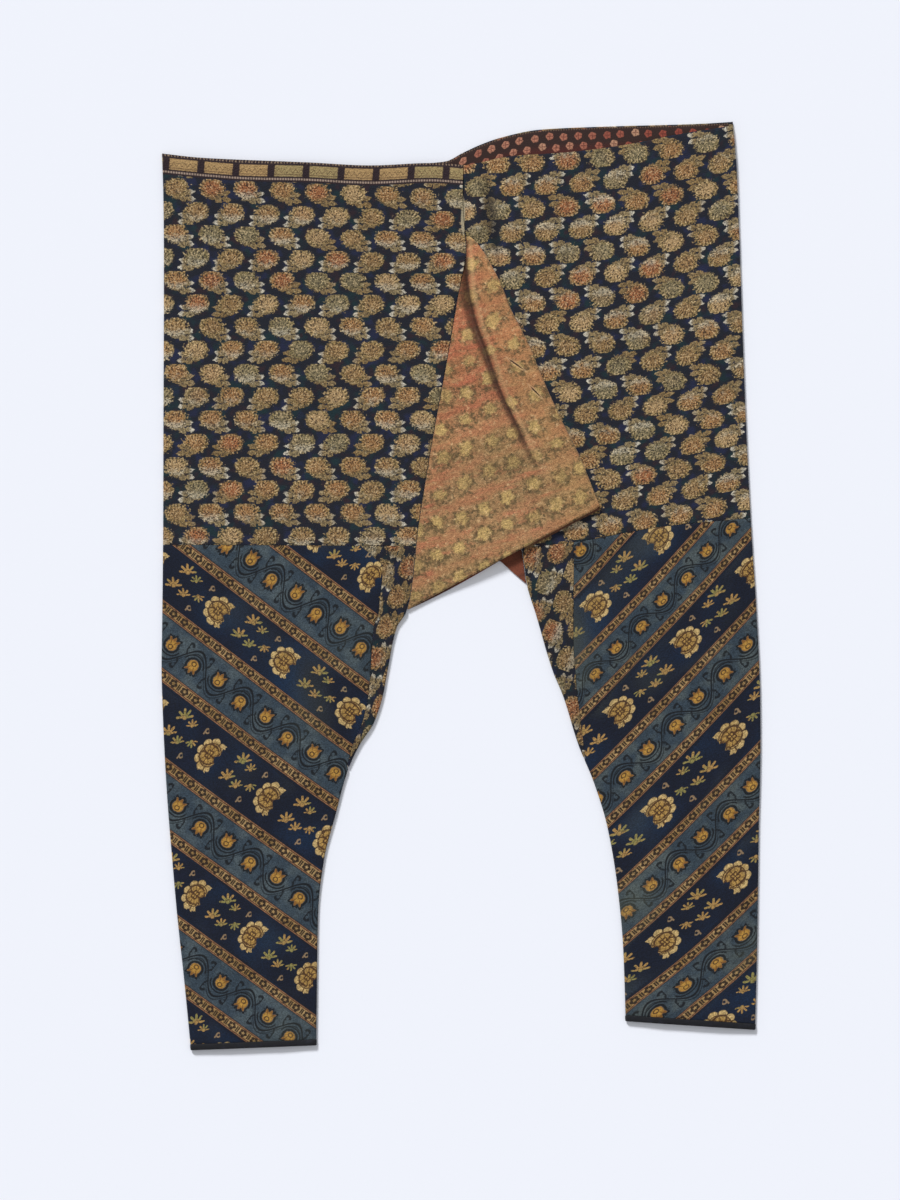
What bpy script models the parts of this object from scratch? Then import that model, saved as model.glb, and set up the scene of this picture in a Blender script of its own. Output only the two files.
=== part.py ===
"""Wide trousers with narrow calves and a pieced crotch, laid flat on a surface with the waist towards +Y.

The front lies up, so +Z is the front of the garment, and left and right are as seen from above.
Every piece is a wall of cloth: a grid of points on its outer side, and the same grid one cloth
thickness further in. Each leg is one flattened round, and its pieces are stretches of that round.
Lengths are in millimetres until a mesh is made, which is in metres.
"""

from collections import namedtuple

import bmesh
import bpy
import numpy as np

MM = 0.001
CLOTH = 1.4
FACING_CLOTH = 1.0
# How much thinner the wall is where it turns round the fold of a leg, so that its inner side has
# room to turn too.
THINNER_IN_FOLD = 0.4
SEAM = 0.3
LEFT, RIGHT = -1, 1

# The outline. Height runs up the garment from its middle, outer is the folded edge of a leg, and
# inner is the seam to the other leg or the gusset above the crotch and the folded edge below it.
# inner_rise is how high the cloth stands there, and fold the height of the folded outer edge.
LegRow = namedtuple("LegRow", "height outer inner inner_rise fold")
LEFT_LEG = (
    LegRow(446, -306.8, 3.0, 6.6, 4.0),
    LegRow(396, -305.3, 1.6, 7.0, 3.8),
    LegRow(345, -304.8, 4.8, 7.6, 3.8),
    LegRow(294, -304.8, -4.0, 7.0, 3.8),
    LegRow(233, -305.0, -14.4, 6.6, 3.8),
    LegRow(149, -305.3, -29.8, 6.2, 3.8),
    LegRow(64, -305.5, -43.6, 5.6, 3.8),
    LegRow(-26, -306.4, -56.0, 3.8, 3.8),
    LegRow(-42, -306.6, -65.7, 3.8, 3.8),
    LegRow(-85, -307.2, -75.0, 3.8, 3.8),
    LegRow(-114, -306.5, -80.5, 3.8, 3.8),
    LegRow(-141, -305.5, -89.8, 3.8, 3.8),
    LegRow(-163, -304.5, -104.0, 3.8, 3.8),
    LegRow(-190, -303.1, -116.5, 3.8, 3.8),
    LegRow(-233, -300.2, -128.3, 3.8, 3.8),
    LegRow(-281, -296.2, -140.6, 3.8, 3.8),
    LegRow(-335, -291.4, -146.6, 3.8, 3.8),
    LegRow(-407, -283.7, -147.8, 3.8, 3.8),
    LegRow(-480, -276.6, -148.6, 3.8, 3.8),
)
RIGHT_LEG = (
    LegRow(480, 278.3, -1.0, 4.9, 5.2),
    LegRow(431, 282.5, -1.2, 4.9, 5.0),
    LegRow(370, 285.0, 0.4, 5.0, 4.0),
    LegRow(358, 285.5, 6.2, 5.4, 3.8),
    LegRow(345, 286.0, 14.0, 5.6, 3.8),
    LegRow(325, 286.6, 21.5, 4.8, 3.8),
    LegRow(149, 293.0, 46.8, 4.6, 3.8),
    LegRow(30, 299.4, 63.6, 4.4, 3.8),
    LegRow(1, 301.4, 67.6, 3.8, 3.8),
    LegRow(-29, 303.1, 76.7, 3.8, 3.8),
    LegRow(-88, 306.1, 94.3, 3.8, 3.8),
    LegRow(-112, 306.8, 104.3, 3.8, 3.8),
    LegRow(-162, 307.2, 120.0, 3.8, 3.8),
    LegRow(-201, 306.6, 136.0, 3.8, 3.8),
    LegRow(-247, 305.4, 150.0, 3.8, 3.8),
    LegRow(-308, 304.6, 160.3, 3.8, 3.8),
    LegRow(-371, 303.6, 166.2, 3.8, 3.8),
    LegRow(-460, 301.4, 169.2, 3.8, 3.8),
)
LEGS = {LEFT: LEFT_LEG, RIGHT: RIGHT_LEG}

# How high the upper layer of a leg stands between its edges, and how wide it takes to get there.
MiddleRow = namedtuple("MiddleRow", "height rise")
MIDDLE = (
    MiddleRow(480, 5.2),
    MiddleRow(300, 6.0),
    MiddleRow(42, 5.8),
    MiddleRow(-200, 5.4),
    MiddleRow(-420, 5.0),
    MiddleRow(-480, 4.5),
)
EDGE_ROUNDING = 38.0

# The waist and the seams across the legs, each as a height at a distance across.
EdgeRow = namedtuple("EdgeRow", "across height")
WAIST_FRONT = {
    LEFT: (
        EdgeRow(-307, 443),
        EdgeRow(-268, 439),
        EdgeRow(-216, 435.4),
        EdgeRow(-165, 434.4),
        EdgeRow(-93, 431),
        EdgeRow(-32, 433.4),
        EdgeRow(6, 431),
    ),
    RIGHT: (
        EdgeRow(-4, 430.6),
        EdgeRow(6, 431.5),
        EdgeRow(50, 440.4),
        EdgeRow(114, 445),
        EdgeRow(173, 453),
        EdgeRow(220, 462.4),
        EdgeRow(279, 472),
    ),
}
WAIST_BACK = (
    EdgeRow(-307, 443.6),
    EdgeRow(-268, 439.4),
    EdgeRow(-165, 434.8),
    EdgeRow(-93, 431.4),
    EdgeRow(-32, 433.8),
    EdgeRow(-16, 435.4),
    EdgeRow(2, 444.3),
    EdgeRow(20, 452.6),
    EdgeRow(40, 459.6),
    EdgeRow(81, 468),
    EdgeRow(143, 471),
    EdgeRow(245, 474),
    EdgeRow(280, 476.1),
)
KNEE_SEAM = {
    LEFT: (EdgeRow(-310, 42.2), EdgeRow(-40, 41)),
    RIGHT: (EdgeRow(50, 38), EdgeRow(116, 45), EdgeRow(204, 60.5), EdgeRow(300, 70)),
}
HEM = {
    LEFT: (EdgeRow(-280, -476.1), EdgeRow(-146, -470.8)),
    RIGHT: (EdgeRow(166, -446), EdgeRow(304, -455.2)),
}
BINDING_LENGTH = 6.0
# The binding's rounded shape along its length: how proud of the calf it stands, and its wall.
BindingRow = namedtuple("BindingRow", "share proud wall")
BINDING_SHAPE = (
    BindingRow(1.0, 0.1, 1.5),
    BindingRow(0.75, 0.45, 1.9),
    BindingRow(0.2, 0.45, 1.9),
    BindingRow(0.0, 0.0, 1.4),
)

# The gores let into the inner leg: how wide each is on one face of the leg, at a height.
GoreRow = namedtuple("GoreRow", "height width")
GORES = {
    LEFT: (
        GoreRow(42, 58),
        GoreRow(31, 44),
        GoreRow(20, 32),
        GoreRow(-14, 30),
        GoreRow(-55, 22.5),
        GoreRow(-107, 16.5),
        GoreRow(-141, 13),
        GoreRow(-163, 8),
        GoreRow(-186, 4.5),
    ),
    RIGHT: (
        GoreRow(46, 54),
        GoreRow(-9, 46),
        GoreRow(-29, 39.5),
        GoreRow(-59, 31),
        GoreRow(-88, 24),
        GoreRow(-112, 16),
        GoreRow(-136, 11.5),
        GoreRow(-158, 7.5),
        GoreRow(-176, 4.5),
    ),
}
GORE_TIP = {LEFT: -186.0, RIGHT: -176.0}
# How far below a gore's tip the calf has closed.
GORE_TIP_CLEARANCE = 2.5
# Rows of points from the knee seam to the crotch, and from the crotch to the gore's tip.
SLIT_ROWS, ROWS_BELOW_CROTCH = 6, 9
# The least length that the columns round the inner fold take up, and how much closer together
# than even the next ones are.
INNER_STRETCH = 1.8
CLOSER_TO_INNER = 1.35

# The crotch gusset. Its front is laid over to the right in one deep pleat. CROTCH is where each
# leg closes, GUSSET_FOOT where the gusset ends just above it, NOTCH where the gusset's bottom edge
# meets the right leg, and PLEAT_TIP the pleat's lower corner.
Corner = namedtuple("Corner", "across height")
CROTCH = {LEFT: Corner(-56.0, -25.7), RIGHT: Corner(67.6, 1.0)}
GUSSET_FOOT = {LEFT: Corner(-55.4, -24.4), RIGHT: Corner(67.0, 2.4)}
NOTCH = Corner(40.9, 26.0)
PLEAT_TIP = Corner(142.5, 81.0)
APEX_HEIGHT = 350.0
# Above the apex the two backs meet in a seam this far across.
CENTRE_BACK = 1.5
# How far the gusset stays inside the seam lines of the legs.
GUSSET_INSET = 0.6
PleatRow = namedtuple("PleatRow", "height across")
PLEAT_FOLD = (
    PleatRow(352, 16),
    PleatRow(327, 32),
    PleatRow(307, 42),
    PleatRow(286, 50),
    PleatRow(263, 61.5),
    PleatRow(243, 71.5),
    PleatRow(220, 80.5),
    PleatRow(166, 105),
    PleatRow(135, 120.5),
    PleatRow(81, 142.5),
)
# The crease beside the pleat: where it runs and how deep it is.
CreaseRow = namedtuple("CreaseRow", "height across depth")
CREASE = (
    CreaseRow(345, 4, 0.0),
    CreaseRow(307, 6.5, 3.2),
    CreaseRow(273, 14, 4.0),
    CreaseRow(238, 26.6, 4.0),
    CreaseRow(202, 39, 3.4),
    CreaseRow(169, 54.5, 2.4),
    CreaseRow(130, 73, 0.6),
    CreaseRow(90, 92, 0.0),
)
CREASE_WIDTH = 5.0
# How high the pleat stands along its fold, at a share of the way down it.
PleatTop = namedtuple("PleatTop", "down rise")
PLEAT_TOP = (
    PleatTop(0.0, 8.4),
    PleatTop(0.15, 10.2),
    PleatTop(0.4, 11.6),
    PleatTop(0.8, 11.4),
    PleatTop(1.0, 11.0),
)
PLEAT_ROUNDING = 3.4
# How far the very end of the gusset's bottom edge flares out.
END_FLARE = 0.05
# The least that the flat part of the gusset's front stops short of the pleat's fold.
ROOM_FOR_FOLD = 4.5
BOTTOM_ROUNDING = 2.2
# The share of the gusset's height that turns down at its bottom edge.
BOTTOM_TURN = 0.0073
# The way square to the gusset's bottom edge, outwards.
DOWN_WAY = np.array([0.4735, -0.8808])
# Where over the notch a column of the gusset's back lies.
NOTCH_SHARE = 0.78
# At its lower corner the pleat's fold ends this much off the leg.
PLEAT_CORNER_LIFT = 2.6
# The bottom edge reaches down to the back up to this far across, and is open from there on.
OPEN_FROM = 56.0
TUCK_INSET = 1.5
TUCK_CLEARANCE = 0.7
# The folded edges under the pleat: how far each point stands out, its share of the height, and
# where the underside is below it.
LipRow = namedtuple("LipRow", "out share under")
TUCK_LIP = (
    LipRow(0.4, 1.0, 0.3),
    LipRow(2.9, 1.0, 0.6),
    LipRow(3.3, 0.78, 0.9),
    LipRow(2.6, 0.54, 1.2),
    LipRow(4.2, 0.42, 1.5),
    LipRow(4.3, 0.16, 1.8),
    LipRow(3.6, 0.02, 2.1),
)

# The soft ridge that the pleat sends up into the right front.
RIDGE_ACROSS, RIDGE_WIDTH, RIDGE_RISE = 16.0, 6.5, 3.0

FACING_ENDS = (-13.5, 274.0)
FACING_DEPTH = 36.0
FACING_LIP = 1.2


def smooth(rows, column, at):
    """A named column read between its rows by a cubic that never overshoots them."""
    table = np.array(sorted(rows, key=lambda row: row[0]), float)
    x, y = table[:, 0], table[:, rows[0]._fields.index(column)]
    step = np.diff(x)
    slope = np.diff(y) / step
    lean = np.zeros_like(y)
    same_way = slope[1:] * slope[:-1] > 0
    weight_a, weight_b = 2 * step[1:] + step[:-1], step[1:] + 2 * step[:-1]
    with np.errstate(divide="ignore", invalid="ignore"):
        mean = (weight_a + weight_b) / (weight_a / slope[:-1] + weight_b / slope[1:])
    lean[1:-1] = np.where(same_way, mean, 0.0)
    lean[0], lean[-1] = slope[0], slope[-1]
    at = np.clip(np.asarray(at, float), x[0], x[-1])
    k = np.clip(np.searchsorted(x, at) - 1, 0, len(step) - 1)
    h = step[k]
    t = (at - x[k]) / h
    return (
        y[k] * (1 + 2 * t) * (1 - t) ** 2
        + lean[k] * h * t * (1 - t) ** 2
        + y[k + 1] * t * t * (3 - 2 * t)
        + lean[k + 1] * h * t * t * (t - 1)
    )


def eased(t):
    """0 to 1 with a soft start and end."""
    t = np.clip(t, 0.0, 1.0)
    return t * t * (3 - 2 * t)


def bell(distance, width):
    """1 at no distance, falling away softly on both sides."""
    return np.exp(-((distance / width) ** 2))


def closed_share(side, height):
    """0 above the crotch, where a leg is open to the gusset, and 1 below it."""
    return eased((CROTCH[side].height - height) / 10)


def pleat_edge(height):
    """How far across the pleat's fold lies."""
    return smooth(PLEAT_FOLD, "across", height)


def pleat_ridge(across, height):
    """The ridge above the gusset, dying away upwards."""
    share = eased((height - 353) / 12) * (1 - 0.6 * eased((height - 360) / 70))
    return RIDGE_RISE * bell(across - RIDGE_ACROSS, RIDGE_WIDTH) * share


def inner_line(side, height, walk):
    """The inner edge of a leg. Above the gusset the front laps over, and the back meets in a seam."""
    front = smooth(LEGS[side], "inner", height)
    centre = np.maximum(side * front, side * CENTRE_BACK) * side
    back = front + (centre - front) * eased((height - APEX_HEIGHT) / 20)
    return np.where(walk > 0, front, back)


def leg_top(side, across, height):
    """How high the upper layer's outer side stands over a leg, away from its rounded edges."""
    rows = LEGS[side]
    outer, inner = smooth(rows, "outer", height), smooth(rows, "inner", height)
    fold, middle = smooth(rows, "fold", height), smooth(MIDDLE, "rise", height)
    inner_rise = smooth(rows, "inner_rise", height)
    from_outer = np.abs(outer - across) - fold / 2
    from_inner = np.abs(across - inner) - fold / 2 * closed_share(side, height)
    rise = (
        middle
        + (fold - middle) * (1 - eased(from_outer / EDGE_ROUNDING))
        + (inner_rise - middle) * (1 - eased(from_inner / EDGE_ROUNDING))
    )
    if side == RIGHT:
        rise = rise + pleat_ridge(across, height)
    return rise


def lengths_round(side, height):
    """Lengths round half of a leg's section: the inner fold, then on to the outer fold, then its arc."""
    rows = LEGS[side]
    radius = smooth(rows, "fold", height) / 2
    inner_radius = radius * closed_share(side, height)
    width = np.abs(smooth(rows, "outer", height) - smooth(rows, "inner", height))
    inner_arc = np.pi / 2 * inner_radius
    return inner_arc, inner_arc + width - radius - inner_radius, np.pi / 2 * radius


def leg_section(side, height, walk):
    """Points on a leg's outer side. walk is the distance round from the middle of the inner edge,
    positive over the front and negative under the back."""
    rows = LEGS[side]
    radius = smooth(rows, "fold", height) / 2
    closed = closed_share(side, height)
    inner_radius = radius * closed
    inner_arc, to_fold, arc = lengths_round(side, height)
    along = np.abs(walk)
    turn_in = np.clip(along / np.maximum(inner_arc, 1e-9), 0, 1) * np.pi / 2
    turn_out = np.clip((along - to_fold) / arc, 0, 1) * np.pi / 2
    out = (
        inner_radius * (1 - np.cos(turn_in))
        + np.clip(along - inner_arc, 0, to_fold - inner_arc)
        + radius * np.sin(turn_out)
    )
    inner = inner_line(side, height, walk)
    stretch = np.abs(smooth(rows, "outer", height) - inner)
    width = np.abs(smooth(rows, "outer", height) - smooth(rows, "inner", height))
    across = inner + side * out * stretch / width
    drop = radius * np.maximum((1 - np.sin(turn_in)) * closed, 1 - np.cos(turn_out))
    up = np.where(walk > 0, leg_top(side, across, height) - drop, drop)
    return np.stack(np.broadcast_arrays(across, height, up), axis=-1)


Columns = namedtuple("Columns", "near flat far face")


def half_columns(near, flat, far):
    """Columns from the inner edge to the outer fold, as shares of the three stretches between."""
    near, flat = np.linspace(0, 1, near + 1), np.linspace(0, 1, flat + 1)[1:] ** CLOSER_TO_INNER
    far = np.linspace(0, 1, far + 1)[1:]
    return (
        np.concatenate([near, np.ones(len(flat) + len(far))]),
        np.concatenate([0 * near, flat, np.ones(len(far))]),
        np.concatenate([np.zeros(len(near) + len(flat)), far]),
    )


def round_columns(near, front_flat, back_flat, far):
    """Columns over the front, round the outer fold and back under the leg."""
    front, back = half_columns(near, front_flat, far), half_columns(near, back_flat, far)
    face = np.concatenate([np.ones(len(front[0])), -np.ones(len(back[0]) - 1)])
    both = [np.concatenate([one, other[-2::-1]]) for one, other in zip(front, back)]
    return Columns(*both, face)


def walk_round(side, height, columns, start, near_length):
    """Distances of the columns round a leg, for a piece that starts at a distance from the inner
    edge. All of the shift is near the start, so that the outer fold keeps its columns."""
    inner_arc, to_fold, arc = lengths_round(side, height)
    near = np.maximum(inner_arc, near_length)
    walk = near * columns.near + (to_fold - near) * columns.flat + arc * columns.far
    walk = walk + start * (1 - np.clip(walk / to_fold, 0, 1))
    return walk * columns.face


def met_by(side, walk_at, edge, first_guess):
    """The height at which each column of a leg meets an edge, which is a height at a distance across."""
    height = first_guess + 0 * walk_at(np.array(first_guess))
    for _ in range(8):
        walk = walk_at(height)
        height = edge(leg_section(side, height, walk)[..., 0], walk)
    return height


def unit(vectors):
    length = np.linalg.norm(vectors, axis=-1, keepdims=True)
    return vectors / np.maximum(length, 1e-9)


def tangents(grid, axis, ring=False):
    """Unit tangents along one way of a grid: the bisector of the two edges at each point."""
    grid = np.moveaxis(grid, axis, 0)
    edges = unit(np.roll(grid, -1, axis=0) - grid) if ring else unit(np.diff(grid, axis=0))
    if ring:
        both = edges + np.roll(edges, 1, axis=0)
    else:
        both = np.concatenate([edges[:1], edges[1:] + edges[:-1], edges[-1:]])
    return np.moveaxis(unit(both), 0, axis)


def walled(grid, thickness, outwards, ring=False):
    """The inner side of a wall: each point moved in by the thickness. outwards need only be rough."""
    normal = unit(np.cross(tangents(grid, 0), tangents(grid, 1, ring)))
    if (normal * outwards).sum() < 0:
        normal = -normal
    return grid - thickness * normal


def away_from_leg(grid):
    """Roughly outwards from a leg: up on its upper layer and down on its lower one."""
    out = np.zeros_like(grid)
    out[..., 2] = np.where(grid[..., 2] > CLOTH, 1.0, -1.0)
    return out


def walled_leg(grid, thickness=CLOTH):
    """The inner side of a leg's wall, which is thinner halfway up the folded edges."""
    radius = smooth(LEFT_LEG, "fold", 0.0) / 2
    in_fold = np.clip(1 - (grid[..., 2:] / radius - 1) ** 2, 0, 1)
    return walled(grid, thickness - THINNER_IN_FOLD * in_fold, away_from_leg(grid))


def solid(name, outer, inner, material, ring=False, gaps=()):
    """One closed body between two grids. ring joins the last column to the first, and gaps names
    the squares of the grid that are left out, as in a slit."""
    rows, cols = outer.shape[:2]
    count = rows * cols
    faces, border = [], set()
    for i in range(rows - 1):
        for j in range(cols if ring else cols - 1):
            if (i, j) in gaps:
                continue
            k = (j + 1) % cols
            loop = [i * cols + j, (i + 1) * cols + j, (i + 1) * cols + k, i * cols + k]
            faces.append(loop)
            faces.append([v + count for v in reversed(loop)])
            for a, b in zip(loop, loop[1:] + loop[:1]):
                if (b, a) in border:
                    border.remove((b, a))
                else:
                    border.add((a, b))
    faces.extend([b, a, a + count, b + count] for a, b in sorted(border))
    points = np.concatenate([outer.reshape(-1, 3), inner.reshape(-1, 3)]) * MM
    mesh = bpy.data.meshes.new(name)
    mesh.from_pydata(points.tolist(), [], faces)
    work = bmesh.new()
    work.from_mesh(mesh)
    bmesh.ops.recalc_face_normals(work, faces=work.faces)
    work.to_mesh(mesh)
    work.free()
    mesh.materials.append(material)
    body = bpy.data.objects.new(name, mesh)
    bpy.context.scene.collection.objects.link(body)
    mesh.shade_smooth()
    mesh.set_sharp_from_angle(angle=np.radians(40))
    return body


def rows_to_tip(side, top):
    """Heights of the rows that a calf and its gore share, from the knee seam to the gore's tip."""
    crotch, tip = CROTCH[side].height, GORE_TIP[side] + 1.0
    above = np.linspace(0, 1, SLIT_ROWS)[:, None]
    below = np.linspace(0, 1, ROWS_BELOW_CROTCH + 1)[1:, None] ** 1.15
    return np.concatenate([top + (crotch - top) * above, crotch + (tip - crotch) * below + 0 * top])


def upper_leg(side, name, material):
    """The wide upper leg: one straight width of cloth, wrapped round the outer side of the leg."""
    columns = round_columns(0, 13, 8, 4)

    def walk_at(height):
        return walk_round(side, height, columns, SEAM / 2, 0.0)

    def waist(across, walk):
        front = smooth(WAIST_FRONT[side], "height", across)
        back = smooth(WAIST_BACK, "height", across)
        return np.where(walk > 0, front, back)

    def knee(across, walk):
        return smooth(KNEE_SEAM[side], "height", across) + SEAM / 2

    top = met_by(side, walk_at, waist, 440.0)
    bottom = met_by(side, walk_at, knee, 44.0)
    down = np.array([0, 0.07, 0.13, 0.17, 0.2, 0.23, 0.27, 0.32, 0.4, 0.5, 0.62, 0.75, 0.88, 1.0])
    height = top + (bottom - top) * down[:, None]
    grid = leg_section(side, height, walk_at(height))
    return solid(name, grid, walled_leg(grid), material)


def gore_width(side, height):
    """How wide a gore is on one face of the leg; nothing below its tip."""
    return smooth(GORES[side], "width", height) * (height > GORE_TIP[side])


def calf(side, name, material):
    """The narrow lower leg: a striped piece wrapped right round, open at the top for the gore."""
    columns = round_columns(3, 9, 6, 4)

    def walk_at(height):
        closing = (height - GORE_TIP[side] + GORE_TIP_CLEARANCE) / (GORE_TIP_CLEARANCE + 1)
        width = smooth(GORES[side], "width", height) * np.clip(closing, 0, 1)
        return walk_round(side, height, columns, width + SEAM / 2, INNER_STRETCH)

    def knee(across, walk):
        return smooth(KNEE_SEAM[side], "height", across) - SEAM / 2

    def cuff(across, walk):
        return smooth(HEM[side], "height", across) + BINDING_LENGTH + SEAM

    top = met_by(side, walk_at, knee, 40.0)
    bottom = met_by(side, walk_at, cuff, -460.0)
    closed = GORE_TIP[side] - GORE_TIP_CLEARANCE
    down = np.array([0, 0.08, 0.22, 0.4, 0.6, 0.8, 1.0])[:, None]
    height = np.concatenate([rows_to_tip(side, top), closed + (bottom - closed) * down])
    grid = leg_section(side, height, walk_at(height))
    return solid(name, grid, walled_leg(grid), material)


def gore(side, name, material):
    """A long triangle let in round the inner edge of the leg, slit at the top round the gusset."""
    near = np.array([0.0, 1.0, 2.0, 3.0])
    shares = np.array([0.35, 0.7, 1.0])

    def walk_at(height):
        width = np.maximum(gore_width(side, height) - SEAM / 2, 2.2 * SEAM)
        full = np.maximum(width, near[-1] + 1)
        half = [k + 0 * full for k in near] + [near[-1] + (full - near[-1]) * k for k in shares]
        walk = [SEAM / 2 + k / full * (width - SEAM / 2) for k in half]
        index = np.arange(2 * len(walk))
        picked = np.where(index < len(walk), len(walk) - 1 - index, index - len(walk))
        sign = np.where(index < len(walk), 1, -1)
        return np.choose(picked, [k + 0 * index for k in walk]) * sign

    def knee(across, walk):
        return smooth(KNEE_SEAM[side], "height", across) - SEAM / 2

    columns = 2 * (len(near) + len(shares))
    top = met_by(side, walk_at, knee, np.full(columns, 40.0))
    height = rows_to_tip(side, top)
    gaps = [(i, columns // 2 - 1) for i in range(SLIT_ROWS - 1)]
    grid = leg_section(side, height, walk_at(height))
    return solid(name, grid, walled_apart(grid, columns // 2), material, gaps=gaps)


def walled_apart(grid, middle):
    """The inner side of a gore: above the slit's end, its two halves are walled each on its own."""
    inner = walled_leg(grid)
    for part in (slice(0, middle), slice(middle, None)):
        half = walled(grid[:, part], CLOTH, away_from_leg(grid[:, part]))
        inner[: SLIT_ROWS - 1, part] = half[: SLIT_ROWS - 1]
    return inner


def binding(side, name, material):
    """The narrow dark binding round a hem: a closed band, a little proud of the calf."""
    columns = round_columns(3, 6, 6, 4)
    columns = Columns(*[part[:-1] for part in columns])

    def walk_at(height):
        return walk_round(side, height, columns, 0.0, INNER_STRETCH)

    def hem(across, walk):
        return smooth(HEM[side], "height", across)

    edge = met_by(side, walk_at, hem, -460.0)
    share = np.array([row.share for row in BINDING_SHAPE])[:, None]
    proud = np.array([row.proud for row in BINDING_SHAPE])[:, None]
    wall = np.array([row.wall for row in BINDING_SHAPE])[:, None, None]
    height = edge + share * BINDING_LENGTH
    walk = walk_at(height)
    line = leg_section(side, height, walk)
    _, to_fold, arc = lengths_round(side, height)
    line[..., 0] += side * proud * (eased((np.abs(walk) - to_fold) / arc) - (np.abs(walk) < 0.1))
    line[..., 2] += proud * (line[..., 2] > CLOTH)
    level = line.copy()
    level[..., 1] = edge
    across = tangents(level, 1, ring=True)
    normal = unit(np.cross(across, np.array([0.0, 1.0, 0.0])))
    if (normal * away_from_leg(line)).sum() < 0:
        normal = -normal
    radius = smooth(LEGS[side], "fold", edge)[..., None] / 2
    wall = wall - THINNER_IN_FOLD * np.clip(1 - (line[..., 2:] / radius - 1) ** 2, 0, 1)
    return solid(name, line, line - wall * normal, material, ring=True)


def gusset_plan(over, down):
    """Where a share over and a share down the gusset's front lies, seen from above."""
    left_height = APEX_HEIGHT + (GUSSET_FOOT[LEFT].height - APEX_HEIGHT) * down
    left = smooth(LEFT_LEG, "inner", left_height) + GUSSET_INSET
    right_height = APEX_HEIGHT + (PLEAT_TIP.height - APEX_HEIGHT) * down
    right = pleat_edge(right_height)
    return left + (right - left) * over, left_height + (right_height - left_height) * over


def floor_of_pleat(across, height):
    """The lowest that anything laid over the right leg may lie, clear of the layers under it."""
    seam = smooth(RIGHT_LEG, "inner", height)
    over_leg = leg_top(RIGHT, np.maximum(across, seam), height) + SEAM
    over_back = CLOTH + SEAM
    share = eased((across - seam + 12) / 10)
    return over_back + (over_leg - over_back) * share


def gusset_top(over, down, across, height):
    """How high the gusset's front stands: it climbs from the left seam to the pleat, with a crease."""
    left = smooth(LEFT_LEG, "inner_rise", np.maximum(height, CROTCH[LEFT].height))
    climb = eased(over * 1.25) * eased(over * 3)
    top = left + (smooth(PLEAT_TOP, "rise", down) - left) * climb
    beside = across - smooth(CREASE, "across", height)
    depth = smooth(CREASE, "depth", height)
    top = top - depth * bell(beside, CREASE_WIDTH) + 0.3 * depth * bell(beside + 12, 8)
    return np.maximum(top, floor_of_pleat(across, height) + CLOTH + SEAM)


def gusset_front(name, material):
    """The gusset's front: it turns down at its bottom edge, and down at the pleat's fold. What it
    gives back is its underside up to the fold, and how low its bottom edge reaches."""
    over_flat = np.array([0, 0.1, 0.2, 0.3, 0.4, 0.48, 0.55, 0.62, 0.69, 0.77, 0.86, 0.93])
    down_flat = np.array([0, 0.05, 0.1, 0.16, 0.23, 0.31, 0.4, 0.5, 0.6, 0.7, 0.8, 0.9, 1.0])
    down_flat = down_flat * (1 - BOTTOM_TURN)
    turns = np.radians([0, 30, 60, 90])
    over, down = np.meshgrid(over_flat, down_flat)
    across, height = gusset_plan(over, down)
    width = (gusset_plan(1.0, down)[0] - gusset_plan(0.0, down)[0])
    over = over * np.minimum(1.0, (1 - ROOM_FOR_FOLD / width) / over_flat[-1])
    across, height = gusset_plan(over, down)
    flat = np.stack([across, height, gusset_top(over, down, across, height)], axis=-1)
    edge = pleat_fold_columns(down_flat, turns)
    grid = np.concatenate([flat, edge], axis=1)

    last = grid[-1]
    is_open = eased((last[:, 0] - OPEN_FROM) / 12)
    closed_end = CLOTH + SEAM
    open_end = last[:, 2] - BOTTOM_ROUNDING
    low = np.minimum(closed_end + (open_end - closed_end) * is_open, last[:, 2] - 1.0)
    round_by = np.minimum(BOTTOM_ROUNDING, last[:, 2] - low) - 0.1
    curl = []
    for turn in turns[1:]:
        down_row = 1 - BOTTOM_TURN * (1 - np.sin(turn))
        across, height = gusset_plan(over_flat, down_row)
        edge = pleat_fold_columns(np.array([down_row]), turns)[0]
        line = np.concatenate([np.stack([across, height, 0 * across], axis=-1), edge])
        line[:, 2] = last[:, 2] - round_by * (1 - np.cos(turn))
        curl.append(line)
    end = curl[-1].copy()
    end[:, :2] += END_FLARE * DOWN_WAY
    end[:, 2] = low
    grid = np.concatenate([grid, np.array(curl), end[None]], axis=0)
    upwards = np.zeros_like(grid)
    upwards[..., 2] = 1
    inner = walled(grid, CLOTH, upwards)
    seam_line = smooth(LEFT_LEG, "inner", inner[:, 0, 1]) + GUSSET_INSET
    inner[:, 0, 0] = np.maximum(inner[:, 0, 0], seam_line)
    inside_end = end - CLOTH * np.array([*DOWN_WAY, 0.0])
    inside_end[len(over_flat) :, 0] -= CLOTH * np.sin([*turns, np.pi / 2])
    inside_end[0] = [seam_line[-1], inside_end[0, 1], end[0, 2]]
    last_flat = inner[len(down_flat) - 1]
    share = np.linspace(0, 1, len(turns) + 1)[1:, None, None]
    inner[len(down_flat) :] = last_flat + (inside_end - last_flat) * share
    solid(name, grid, inner, material)
    to_fold = len(over_flat) + 1
    return inner[: len(down_flat), :to_fold], end[:to_fold, 2]


def pleat_fold_columns(down, turns):
    """The columns of the gusset's front that roll over the pleat's fold and end on the leg."""
    height = gusset_plan(1.0, down)[1]
    across = pleat_edge(height)
    floor = leg_top(RIGHT, across, height) + SEAM + PLEAT_CORNER_LIFT * eased((down - 0.9) / 0.09)
    ridge = np.maximum(gusset_top(0.96, down, across - 4, height), floor + 2.4)
    radius = np.minimum(PLEAT_ROUNDING, ridge - floor - 0.6)
    columns = [
        (across - radius * (1 - np.sin(turn)), height, ridge - radius * (1 - np.cos(turn)))
        for turn in turns
    ]
    columns.append((across, height, floor))
    return np.stack([np.stack(column, axis=-1) for column in columns], axis=1)


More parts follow.
